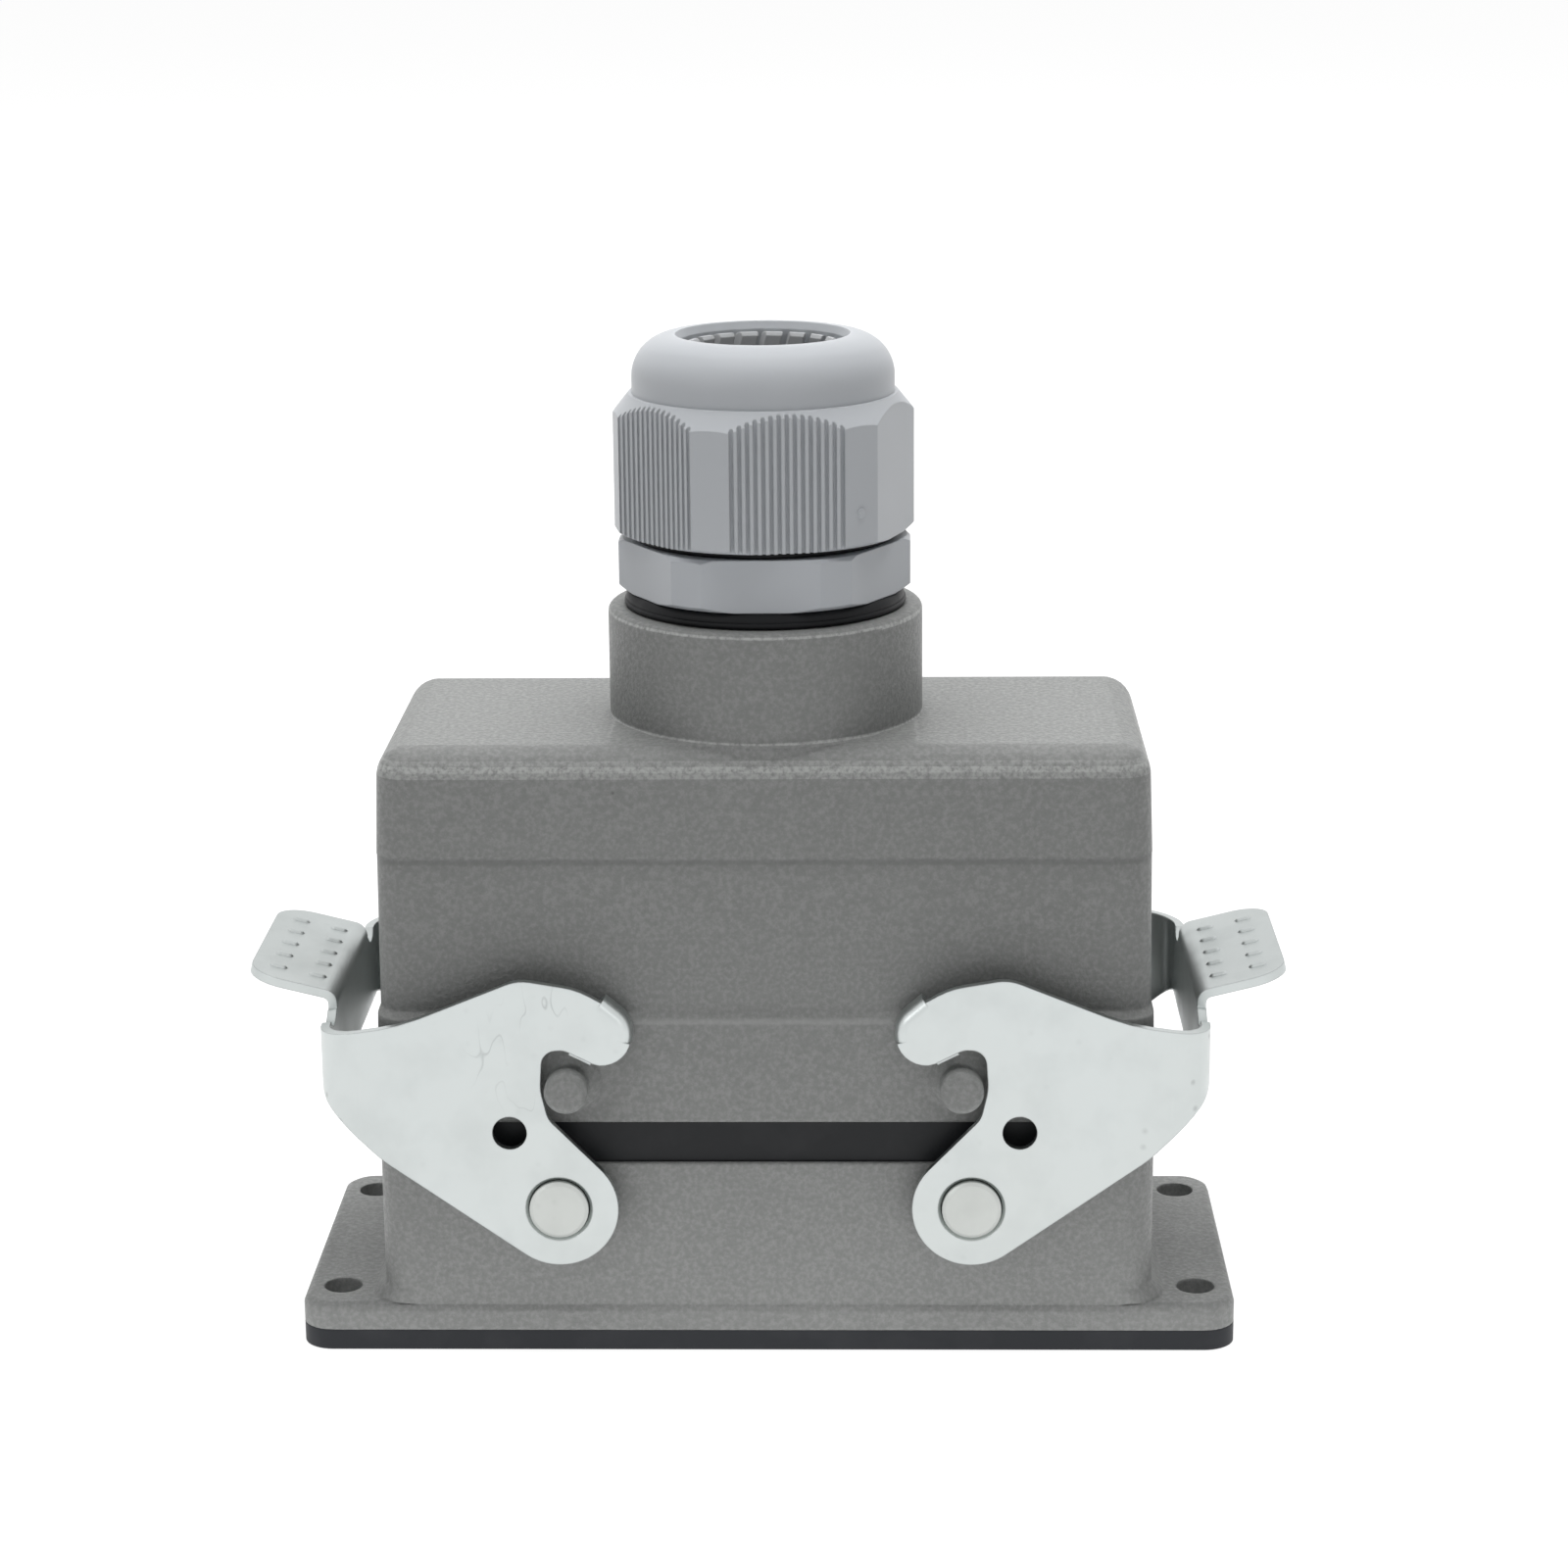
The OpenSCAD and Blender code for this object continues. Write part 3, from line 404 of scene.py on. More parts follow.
@dataclass(frozen=True)
class Finish:
    """What every finish holds, and how its material starts and ends.

    The edges are softened over a radius and masked with a gain. The grain has a scale, a
    share of finer grain, a depth in metres and a strength. In every finish a share says how
    much of a mark's colour shows where the mark is strongest.
    """

    look: Look
    base: Colour
    rough: float
    edge_radius: float = 0.00025
    edge_gain: float = 2.0
    grain: float = 2600.0
    fine: float = 0.5
    depth: float = 0.00003
    strength: float = 0.5

    def build(self, effects: EffectLibrary) -> bpy.types.Material:
        """Builds the finish's material.

        Args:
            effects: the shared effects.

        Returns:
            The material.
        """
        material = bpy.data.materials.new(self.look.value)
        material.use_nodes = True
        material.node_tree.nodes.clear()
        tree = ShaderTree(material.node_tree)
        shader = tree.node("ShaderNodeBsdfPrincipled")
        self.dress(tree, shader, effects)
        tree.node("ShaderNodeOutputMaterial", {"Surface": shader.outputs["BSDF"]})
        return material

    def dress(self, tree: ShaderTree, shader: bpy.types.Node, effects: EffectLibrary) -> None:
        """Gives the shader its colour, roughness and relief.

        Args:
            tree: the material's tree.
            shader: its shader.
            effects: the shared effects.
        """
        raise NotImplementedError

    def edges(self, tree: ShaderTree, effects: EffectLibrary) -> Any:
        """Places the softened edges, and returns their normal and their mask, by name."""
        sizes = {"Radius": self.edge_radius, "Gain": self.edge_gain}
        return effects.place(tree, Effect.SOFT_EDGES, **sizes).outputs

    def grained(self, tree: ShaderTree, effects: EffectLibrary) -> Socket:
        """Places the finish's grain, and returns its height."""
        return effects.value(tree, Effect.GRAIN, Scale=self.grain, Fine=self.fine)

    @staticmethod
    def join(shader: bpy.types.Node, tree: ShaderTree, **sockets: Socket) -> None:
        """Joins outputs to the shader's inputs, named with underscores for spaces."""
        for name, socket in sockets.items():
            tree.give(shader, name.replace("_", " "), socket)

    @staticmethod
    def relief(
        tree: ShaderTree, height: Socket, depth: float, strength: float, normal: Socket
    ) -> Socket:
        """Turns a height into a normal.

        Args:
            tree: the material's tree.
            height: the height's output.
            depth: how deep a height of 1 is, in metres.
            strength: how much of it shows.
            normal: the normal that the relief is laid on.

        Returns:
            The normal's output.
        """
        sizes = {"Strength": strength, "Distance": depth}
        bump = tree.node("ShaderNodeBump", {**sizes, "Height": height, "Normal": normal})
        return bump.outputs["Normal"]


@dataclass(frozen=True)
class PowderCoat(Finish):
    """Fine-textured powder coat on die-cast metal, with painted highlights on its upper edges.

    A grain span says over which heights of the grain a mark comes or goes.
    """

    edge_radius: float = 0.0006
    edge_gain: float = 2.5
    grain: float = 1850.0
    fine: float = 0.45
    depth: float = 0.00011
    strength: float = 0.6
    # pale is the coat's pale tone and also paints its highlights; dark is its dark tone and also
    # paints the shade line; crest paints the highlight on the rounded crests.
    pale: Colour = (0.34, 0.345, 0.34)
    dark: Colour = (0.135, 0.14, 0.137)
    crest: Colour = (0.47, 0.48, 0.47)
    dirt: Colour = (0.05, 0.05, 0.05)
    patch_share: float = 0.07
    close_share: float = 0.06
    speck_share: float = 0.7
    pit_grain: Span = (0.48, 0.80)
    pit_share: float = 0.36
    peak_grain: Span = (0.72, 1.0)
    peak_share: float = 0.30
    rough_grain: Span = (0.4, 1.0)
    rough_spread: float = 0.08
    # Where and how strongly the highlights are painted on the upper edges and crests.
    rim_z: float = 64.0 * MM
    edge_highlight_foot: float = 0.9
    edge_highlight_least: float = 0.3
    edge_highlight_grain: Span = (0.5, 0.95)
    edge_highlight_share: Span = (0.1, 0.8)
    crest_foot: float = 0.97
    crest_slope: float = 0.36
    crest_reach: float = 0.26
    crest_grain: Span = (0.45, 0.85)
    crest_share: Span = (0.08, 0.75)
    # The painted shade line under the hood's upper band and the painted highlight line on its
    # skirt's ledge.
    band_z: float = 60.35 * MM
    band_reach: float = 0.55 * MM
    band_shade_share: float = 0.5
    skirt_z: float = 41.15 * MM
    skirt_reach: float = 0.5 * MM
    skirt_highlight_share: float = 0.45

    def dress(self, tree: ShaderTree, shader: bpy.types.Node, effects: EffectLibrary) -> None:
        """Gives the shader its colour, roughness and relief.

        Args:
            tree: the material's tree.
            shader: its shader.
            effects: the shared effects.
        """
        edges = self.edges(tree, effects)
        grain = self.grained(tree, effects)
        height = tree.axes(tree.place())["Z"]
        # Painted shade and highlight lines on the hood's steps, then painted highlights on the
        # edges and crests.
        lined = self._lined(tree, self._coated(tree, effects, grain), height)
        layered = self._highlighted(tree, lined, grain, height, edges["Edge"])
        specks = effects.value(tree, Effect.SPECKS, Scale=230.0, Size=0.06, Share=0.05)
        colour = tree.marked(layered, specks, self.speck_share, self.dirt)
        dull, shiny = self.rough + self.rough_spread, self.rough - self.rough_spread
        rough = tree.span(grain, *self.rough_grain, dull, shiny)
        normal = self.relief(tree, grain, self.depth, self.strength, edges["Normal"])
        self.join(shader, tree, Base_Color=colour, Roughness=rough, Normal=normal)

    def _coated(self, tree: ShaderTree, effects: EffectLibrary, grain: Socket) -> Socket:
        """Mottles the coat's colour, with dark pits and pale peaks in its grain.

        Args:
            tree: the material's tree.
            effects: the shared effects.
            grain: the grain's height.

        Returns:
            The coat's colour.
        """
        patches = effects.value(tree, Effect.BLOTCHES, Scale=30.0, Low=0.32, High=0.72)
        close = effects.value(tree, Effect.BLOTCHES, Scale=420.0, Low=0.35, High=0.7)
        mottled = tree.marked(self.base, patches, self.patch_share, self.pale)
        uneven = tree.marked(mottled, close, self.close_share, self.dark)
        pits = tree.span(grain, *self.pit_grain, self.pit_share, 0.0)
        peaks = tree.span(grain, *self.peak_grain, 0.0, self.peak_share)
        return tree.blend(peaks, tree.blend(pits, uneven, self.dark), self.pale)

    def _lined(self, tree: ShaderTree, colour: Socket, height: Socket) -> Socket:
        """Paints a shade line under the hood's upper band and a highlight line on its skirt's
        ledge.

        Args:
            tree: the material's tree.
            colour: the coat's colour.
            height: the height above the floor.

        Returns:
            The colour with the painted shade and highlight lines.
        """
        # The shade under the band's small overhang and the light on the skirt's ledge are painted
        # into the colour.
        band_shade = tree.level(height, self.band_z, self.band_reach)
        skirt_highlight = tree.level(height, self.skirt_z, self.skirt_reach)
        shaded = tree.marked(colour, band_shade, self.band_shade_share, self.dark)
        return tree.marked(shaded, skirt_highlight, self.skirt_highlight_share, self.pale)

    def _highlighted(
        self, tree: ShaderTree, colour: Socket, grain: Socket, height: Socket, edge: Socket
    ) -> Socket:
        """Paints highlights on the upper edges, and brighter ones on the rounded crests above the
        rim.

        Args:
            tree: the material's tree.
            colour: the coat's colour.
            grain: the grain's height.
            height: the height above the floor.
            edge: the mask of the edges.

        Returns:
            The colour with the painted highlights.
        """
        # Painted highlight along the edges, stronger toward the top.
        upper = tree.span(height, self.rim_z * self.edge_highlight_foot, self.rim_z, self.edge_highlight_least, 1.0)
        edge_glint = tree.span(grain, *self.edge_highlight_grain, *self.edge_highlight_share)
        edge_highlight = tree.times(tree.times(edge, upper), edge_glint)
        # Painted highlight on the rounded crests that face partly upward, above the rim.
        slope = tree.axes(tree.node("ShaderNodeTexCoord").outputs["Normal"])["Z"]
        rounded = tree.level(slope, self.crest_slope, self.crest_reach)
        high = tree.span(height, self.rim_z * self.crest_foot, self.rim_z, 0.0, 1.0)
        crest_glint = tree.span(grain, *self.crest_grain, *self.crest_share)
        crest_lit = tree.times(tree.times(rounded, high), crest_glint)
        return tree.blend(crest_lit, tree.blend(edge_highlight, colour, self.pale), self.crest)


@dataclass(frozen=True)
class ZincPlate(Finish):
    """Bright zinc plating on sheet or turned steel, with stains and fine lines in it, and painted
    dark reflections along its edges.

    The cracked, pitted and handled spots and their reaches are in millimetres.
    """

    stain: Colour = (0.555, 0.575, 0.555)
    # The line colour also paints the dark reflection along the edges.
    line: Colour = (0.16, 0.17, 0.17)
    cracked: tuple[Point, ...] = ()
    pitted: tuple[Point, ...] = ()
    handled: tuple[Point, ...] = ()
    crack_reach: float = 8.0
    pit_reach: float = 11.0
    pit_least: float = 0.12
    hand_reach: float = 21.0
    stain_share: float = 0.3
    cloud_share: float = 0.26
    cloud_tone: float = 0.84
    hand_share: float = 0.2
    hand_tone: float = 0.74
    crack_share: float = 0.34
    painted_edge_share: float = 0.55
    speck_share: float = 0.62
    cloud_rough: float = 0.08
    hand_rough: float = 0.12
    crack_rough: float = 0.2
    drawn_scale: Point = (900.0, 900.0, 60.0)
    rolled: float = 0.25
    grain_height: float = 0.3
    crack_depth: float = 0.1

    @staticmethod
    def around(tree: ShaderTree, spots: tuple[Point, ...], reach: float, least: float) -> Any:
        """Masks what lies near any of several spots.

        Args:
            tree: the material's tree.
            spots: the spots, in millimetres.
            reach: how far from each the mask fades out.
            least: the mask's value far from all of them.

        Returns:
            The mask, or its least value where there are no spots.
        """
        mask: Any = least
        for spot in spots:
            mask = tree.math("MAXIMUM", tree.near(spot, reach), mask)
        return mask

    def toned(self, tone: float) -> Colour:
        """Returns the base colour, darkened by a tone."""
        return tuple(tone * value for value in self.base)

    def dress(self, tree: ShaderTree, shader: bpy.types.Node, effects: EffectLibrary) -> None:
        """Gives the shader its colour, roughness and relief.

        Args:
            tree: the material's tree.
            shader: its shader.
            effects: the shared effects.
        """
        shader.inputs["Metallic"].default_value = 1.0
        edges = self.edges(tree, effects)
        grain = self.grained(tree, effects)
        wide = effects.value(tree, Effect.BLOTCHES, Scale=30.0, Low=0.42, High=0.7)
        close = effects.value(tree, Effect.BLOTCHES, Scale=190.0, Low=0.44, High=0.7)
        lines = effects.value(tree, Effect.HAIRLINES, Scale=330.0, Width=0.011, Share=0.53)
        cracks = tree.times(lines, self.around(tree, self.cracked, self.crack_reach, 0.0))
        dots = effects.value(tree, Effect.SPECKS, Scale=520.0, Size=0.26, Share=0.16)
        scatter = self.around(tree, self.pitted, self.pit_reach, self.pit_least)
        specks = tree.times(dots, scatter)
        hands = self.around(tree, self.handled, self.hand_reach, 0.0)
        stained = tree.marked(self.base, wide, self.stain_share, self.stain)
        clouded = tree.marked(stained, close, self.cloud_share, self.toned(self.cloud_tone))
        dulled = tree.marked(clouded, hands, self.hand_share, self.toned(self.hand_tone))
        lined = tree.marked(dulled, cracks, self.crack_share, self.line)
        # Painted dark reflection along the sheet's edges.
        edge_reflected = tree.marked(lined, edges["Edge"], self.painted_edge_share, self.line)
        colour = tree.marked(edge_reflected, specks, self.speck_share, self.line)
        cloudy = tree.span(close, 0.0, 1.0, self.rough, self.rough + self.cloud_rough)
        layered = tree.math("ADD", cloudy, tree.times(hands, self.hand_rough))
        rough = tree.math("ADD", layered, tree.times(cracks, self.crack_rough))
        along = tree.stretched(tree.place(), self.drawn_scale)
        drawn = tree.noise(along, scale=1.0, detail=3.0, rough=0.6)
        fine = tree.times(grain, self.grain_height)
        height = tree.math("ADD", tree.times(drawn, self.rolled), fine)
        cut = tree.math("SUBTRACT", height, tree.times(cracks, self.crack_depth))
        normal = self.relief(tree, cut, self.depth, self.strength, edges["Normal"])
        self.join(shader, tree, Base_Color=colour, Roughness=rough, Normal=normal)


@dataclass(frozen=True)
class Rubber(Finish):
    """Moulded rubber, a little dusty."""

    edge_radius: float = 0.0004
    grain: float = 1700.0
    fine: float = 0.6
    depth: float = 0.00004
    strength: float = 0.3
    dust: Colour = (0.07, 0.07, 0.075)
    dusty: float = 0.25
    edge_dust: float = 0.25
    dust_rough: float = 0.15
    shine: float = 0.3

    def dress(self, tree: ShaderTree, shader: bpy.types.Node, effects: EffectLibrary) -> None:
        """Gives the shader its colour, roughness and relief.

        Args:
            tree: the material's tree.
            shader: its shader.
            effects: the shared effects.
        """
        shader.inputs["Specular IOR Level"].default_value = self.shine
        edges = self.edges(tree, effects)
        grain = self.grained(tree, effects)
        patches = effects.value(tree, Effect.BLOTCHES, Scale=130.0, Low=0.48, High=0.7)
        dusted = tree.marked(self.base, patches, self.dusty, self.dust)
        colour = tree.marked(dusted, edges["Edge"], self.edge_dust, self.dust)
        rough = tree.span(patches, 0.0, 1.0, self.rough, self.rough + self.dust_rough)
        normal = self.relief(tree, grain, self.depth, self.strength, edges["Normal"])
        self.join(shader, tree, Base_Color=colour, Roughness=rough, Normal=normal)


@dataclass(frozen=True)
class Moulding(Finish):
    """Injection-moulded plastic with faint flow marks and painted highlights along its edges."""

    edge_radius: float = 0.00022
    edge_gain: float = 2.5
    grain: float = 1500.0
    depth: float = 0.000015
    strength: float = 0.4
    # pale also paints the highlight along the edges.
    pale: Colour = (0.55, 0.57, 0.59)
    painted_edge_share: float = 0.3
    flow_scale: Point = (40.0, 40.0, 70.0)
    flow_share: float = 0.14
    patch_scale: float = 90.0
    noise_span: Span = (0.2, 0.8)
    smoother: float = 0.02
    rougher: float = 0.05
    shine: float = 0.36

    def shaped(self, tree: ShaderTree, normal: Socket) -> Socket:
        """Adds the moulding's own shallow shapes to a normal; a plain one has none."""
        return normal

    def dress(self, tree: ShaderTree, shader: bpy.types.Node, effects: EffectLibrary) -> None:
        """Gives the shader its colour, roughness and relief.

        Args:
            tree: the material's tree.
            shader: its shader.
            effects: the shared effects.
        """
        shader.inputs["Specular IOR Level"].default_value = self.shine
        edges = self.edges(tree, effects)
        grain = self.grained(tree, effects)
        along = tree.stretched(tree.place(), self.flow_scale)
        flow = tree.noise(along, scale=1.0, detail=1.0, rough=0.4)
        patches = tree.noise(tree.place(), self.patch_scale, detail=2.0)
        flowing = tree.span(flow, *self.noise_span, 0.0, self.flow_share)
        flowed = tree.blend(flowing, self.base, self.pale)
        # Painted highlight along the edges.
        colour = tree.marked(flowed, edges["Edge"], self.painted_edge_share, self.pale)
        smooth, dull = self.rough - self.smoother, self.rough + self.rougher
        rough = tree.span(patches, *self.noise_span, smooth, dull)
        bumped = self.relief(tree, grain, self.depth, self.strength, edges["Normal"])
        normal = self.shaped(tree, bumped)
        self.join(shader, tree, Base_Color=colour, Roughness=rough, Normal=normal)


@dataclass(frozen=True)
class ThreadedMoulding(Moulding):
    """Moulded plastic whose upright sleeve carries a fine thread.

    Its ridge climbs over half of each pitch and falls over the other half.
    """

    HALF_PITCH = 0.5

    pitch: float = 1.5 * MM
    sleeve_r: float = 14.0 * MM
    slack: float = 0.05 * MM
    low: float = 95.3 * MM
    high: float = 105.4 * MM
    thread_depth: float = 1.2 * MM
    thread_strength: float = 1.0

    def shaped(self, tree: ShaderTree, normal: Socket) -> Socket:
        """Lays the thread's relief on the sleeve.

        Args:
            tree: the material's tree.
            normal: the normal that it is laid on.

        Returns:
            The normal with the thread in it.
        """
        at = tree.axes(tree.place())
        turns = tree.math("DIVIDE", tree.math("ARCTAN2", at["Y"], at["X"]), FULL_TURN)
        along = tree.math("SUBTRACT", tree.math("DIVIDE", at["Z"], self.pitch), turns)
        climb = tree.math("PINGPONG", along, self.HALF_PITCH)
        ridge = tree.times(climb, self._sleeve(tree, at))
        return self.relief(tree, ridge, self.thread_depth, self.thread_strength, normal)

    def _sleeve(self, tree: ShaderTree, at: Any) -> Socket:
        """Masks the sleeve.

        Args:
            tree: the material's tree.
            at: the place's three outputs, by axis.

        Returns:
            1 on the sleeve, else 0.
        """
        squares = [tree.math("POWER", at[axis], 2.0) for axis in ("X", "Y")]
        out = tree.math("SQRT", tree.math("ADD", *squares))
        inside = tree.math("LESS_THAN", out, self.sleeve_r + self.slack)
        above = tree.math("GREATER_THAN", at["Z"], self.low)
        below = tree.math("LESS_THAN", at["Z"], self.high)
        return tree.times(inside, tree.times(above, below))


@dataclass(frozen=True)
class PlatedContact(Finish):
    """Silver-plated contact metal with a little tarnish."""

    edge_radius: float = 0.00015
    grain: float = 3500.0
    depth: float = 0.00001
    strength: float = 0.3
    tarnish: Colour = (0.42, 0.33, 0.20)
    tarnish_share: float = 0.4
    tarnish_rough: float = 0.15

    def dress(self, tree: ShaderTree, shader: bpy.types.Node, effects: EffectLibrary) -> None:
        """Gives the shader its colour, roughness and relief.

        Args:
            tree: the material's tree.
            shader: its shader.
            effects: the shared effects.
        """
        shader.inputs["Metallic"].default_value = 1.0
        edges = self.edges(tree, effects)
        grain = self.grained(tree, effects)
        patches = effects.value(tree, Effect.BLOTCHES, Scale=160.0, Low=0.45, High=0.7)
        colour = tree.marked(self.base, patches, self.tarnish_share, self.tarnish)
        rough = tree.span(patches, 0.0, 1.0, self.rough, self.rough + self.tarnish_rough)
        normal = self.relief(tree, grain, self.depth, self.strength, edges["Normal"])
        self.join(shader, tree, Base_Color=colour, Roughness=rough, Normal=normal)


FINISHES: tuple[Finish, ...] = (
    PowderCoat(Look.CAST_GREY, (0.212, 0.217, 0.212), 0.47),
    ZincPlate(
        Look.ZINC_STEEL,
        (0.60, 0.635, 0.63),
        0.30,
        cracked=((-24.0, -24.8, 41.0), (-29.0, -24.8, 36.5), (48.0, -24.8, 38.0)),
        pitted=((49.0, -24.8, 37.0), (52.0, -24.0, 26.0), (-50.0, -24.8, 30.0)),
        handled=((58.0, 0.0, 41.5), (-58.0, 0.0, 41.5)),
    ),
    ZincPlate(Look.PIN_STEEL, (0.56, 0.58, 0.56), 0.42, rolled=0.0),
    Rubber(Look.BLACK_RUBBER, (0.0065, 0.0075, 0.009), 0.46, dusty=0.16),
    Rubber(Look.RING_RUBBER, (0.004, 0.0045, 0.0055), 0.42, dusty=0.05, shine=0.18),
    Rubber(Look.GASKET_RUBBER, (0.016, 0.018, 0.022), 0.5, dusty=0.2),
    Rubber(Look.SEAL_RUBBER, (0.055, 0.053, 0.05), 0.6, dust=(0.12, 0.115, 0.11)),
    Moulding(Look.GREY_NYLON, (0.485, 0.505, 0.53), 0.34, shine=0.3),
    ThreadedMoulding(Look.THREADED_NYLON, (0.47, 0.492, 0.52), 0.32, pale=(0.53, 0.55, 0.575)),
    Moulding(Look.LIGHT_NYLON, (0.42, 0.43, 0.44), 0.42, pale=(0.52, 0.53, 0.54)),
    Moulding(Look.DARK_PLASTIC, (0.05, 0.05, 0.055), 0.5, pale=(0.09, 0.09, 0.095), depth=0.00004),
    PlatedContact(Look.CONTACT_BRASS, (0.72, 0.68, 0.58), 0.28),
    ZincPlate(Look.SCREW_STEEL, (0.60, 0.62, 0.62), 0.26, rolled=0.1),
    ZincPlate(Look.EARTH_STEEL, (0.56, 0.55, 0.50), 0.34, stain=(0.46, 0.43, 0.36)),
)


class FinishShop:
    """Builds the finishes and puts them on pieces."""

    def __init__(self) -> None:
        """Builds one material per finish."""
        effects = EffectLibrary()
        self.materials = {finish.look: finish.build(effects) for finish in FINISHES}

    def cover(self, piece: bpy.types.Object, look: Look) -> None:
        """Gives a piece one finish, in place of what it had."""
        piece.data.materials.clear()
        piece.data.materials.append(self.materials[look])

    def dress_node(self, node: bpy.types.Object, look: Look) -> None:
        """Puts a finish on a CAD node, and logs it."""
        self.cover(node, look)
        log.info("%s finished as %s", node.name, look.value)

    def dress_piece(self, piece: bpy.types.Object, look: Look, slot: Look, body: Body) -> None:
        """Puts a finish on a new piece.

        Args:
            piece: the new piece.
            look: its finish.
            slot: the record's slot that it belongs to; not used.
            body: the body that it rides on.
        """
        self.cover(piece, look)
        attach(piece, body.value)
        log.info("%s made, on %s", piece.name, body.value)


# ---------------------------------------------------------------- pieces


def piece_from(mesh: bmesh.types.BMesh, name: str, smooth: bool = True) -> bpy.types.Object:
    """Turns a bmesh into a piece.

    Args:
        mesh: the bmesh, which is freed.
        name: the piece's name.
        smooth: whether its faces are shaded smooth.

    Returns:
        The piece, at the origin.
    """
    for face in mesh.faces:
        face.smooth = smooth
    data = bpy.data.meshes.new(name)
    mesh.to_mesh(data)
    mesh.free()
    made = bpy.data.objects.new(name, data)
    bpy.context.scene.collection.objects.link(made)
    return made


@dataclass
class Assembly:
    """A sub-assembly: CAD nodes with their finishes, and the pieces added to them."""

    shop: FinishShop
    frame: dict[str, Any]
    nodes: dict[str, Look] = field(default_factory=dict)

    def build(self) -> None:
        """Adds the sub-assembly's own pieces; the plain one has none."""

    def dress(self) -> None:
        """Finishes the sub-assembly's CAD nodes."""
        for name, look in self.nodes.items():
            self.shop.dress_node(self.frame["nodes"][name], look)


@dataclass
class BaseAssembly(Assembly):
    """Flanged base with its gasket, seal and lever pins."""

    nodes: dict[str, Look] = field(
        default_factory=lambda: {
            "flange_gasket": Look.GASKET_RUBBER,
            "base_housing": Look.CAST_GREY,
            "housing_seal": Look.BLACK_RUBBER,
            "lever_pivot_pins": Look.PIN_STEEL,
        }
    )


@dataclass
class LeverAssembly(Assembly):
    """The two locking levers."""

    nodes: dict[str, Look] = field(
        default_factory=lambda: {
            "left_locking_lever": Look.ZINC_STEEL,
            "right_locking_lever": Look.ZINC_STEEL,
        }
    )


@dataclass
class HoodAssembly(Assembly):
    """The hood."""

    nodes: dict[str, Look] = field(default_factory=lambda: {"cable_hood": Look.CAST_GREY})


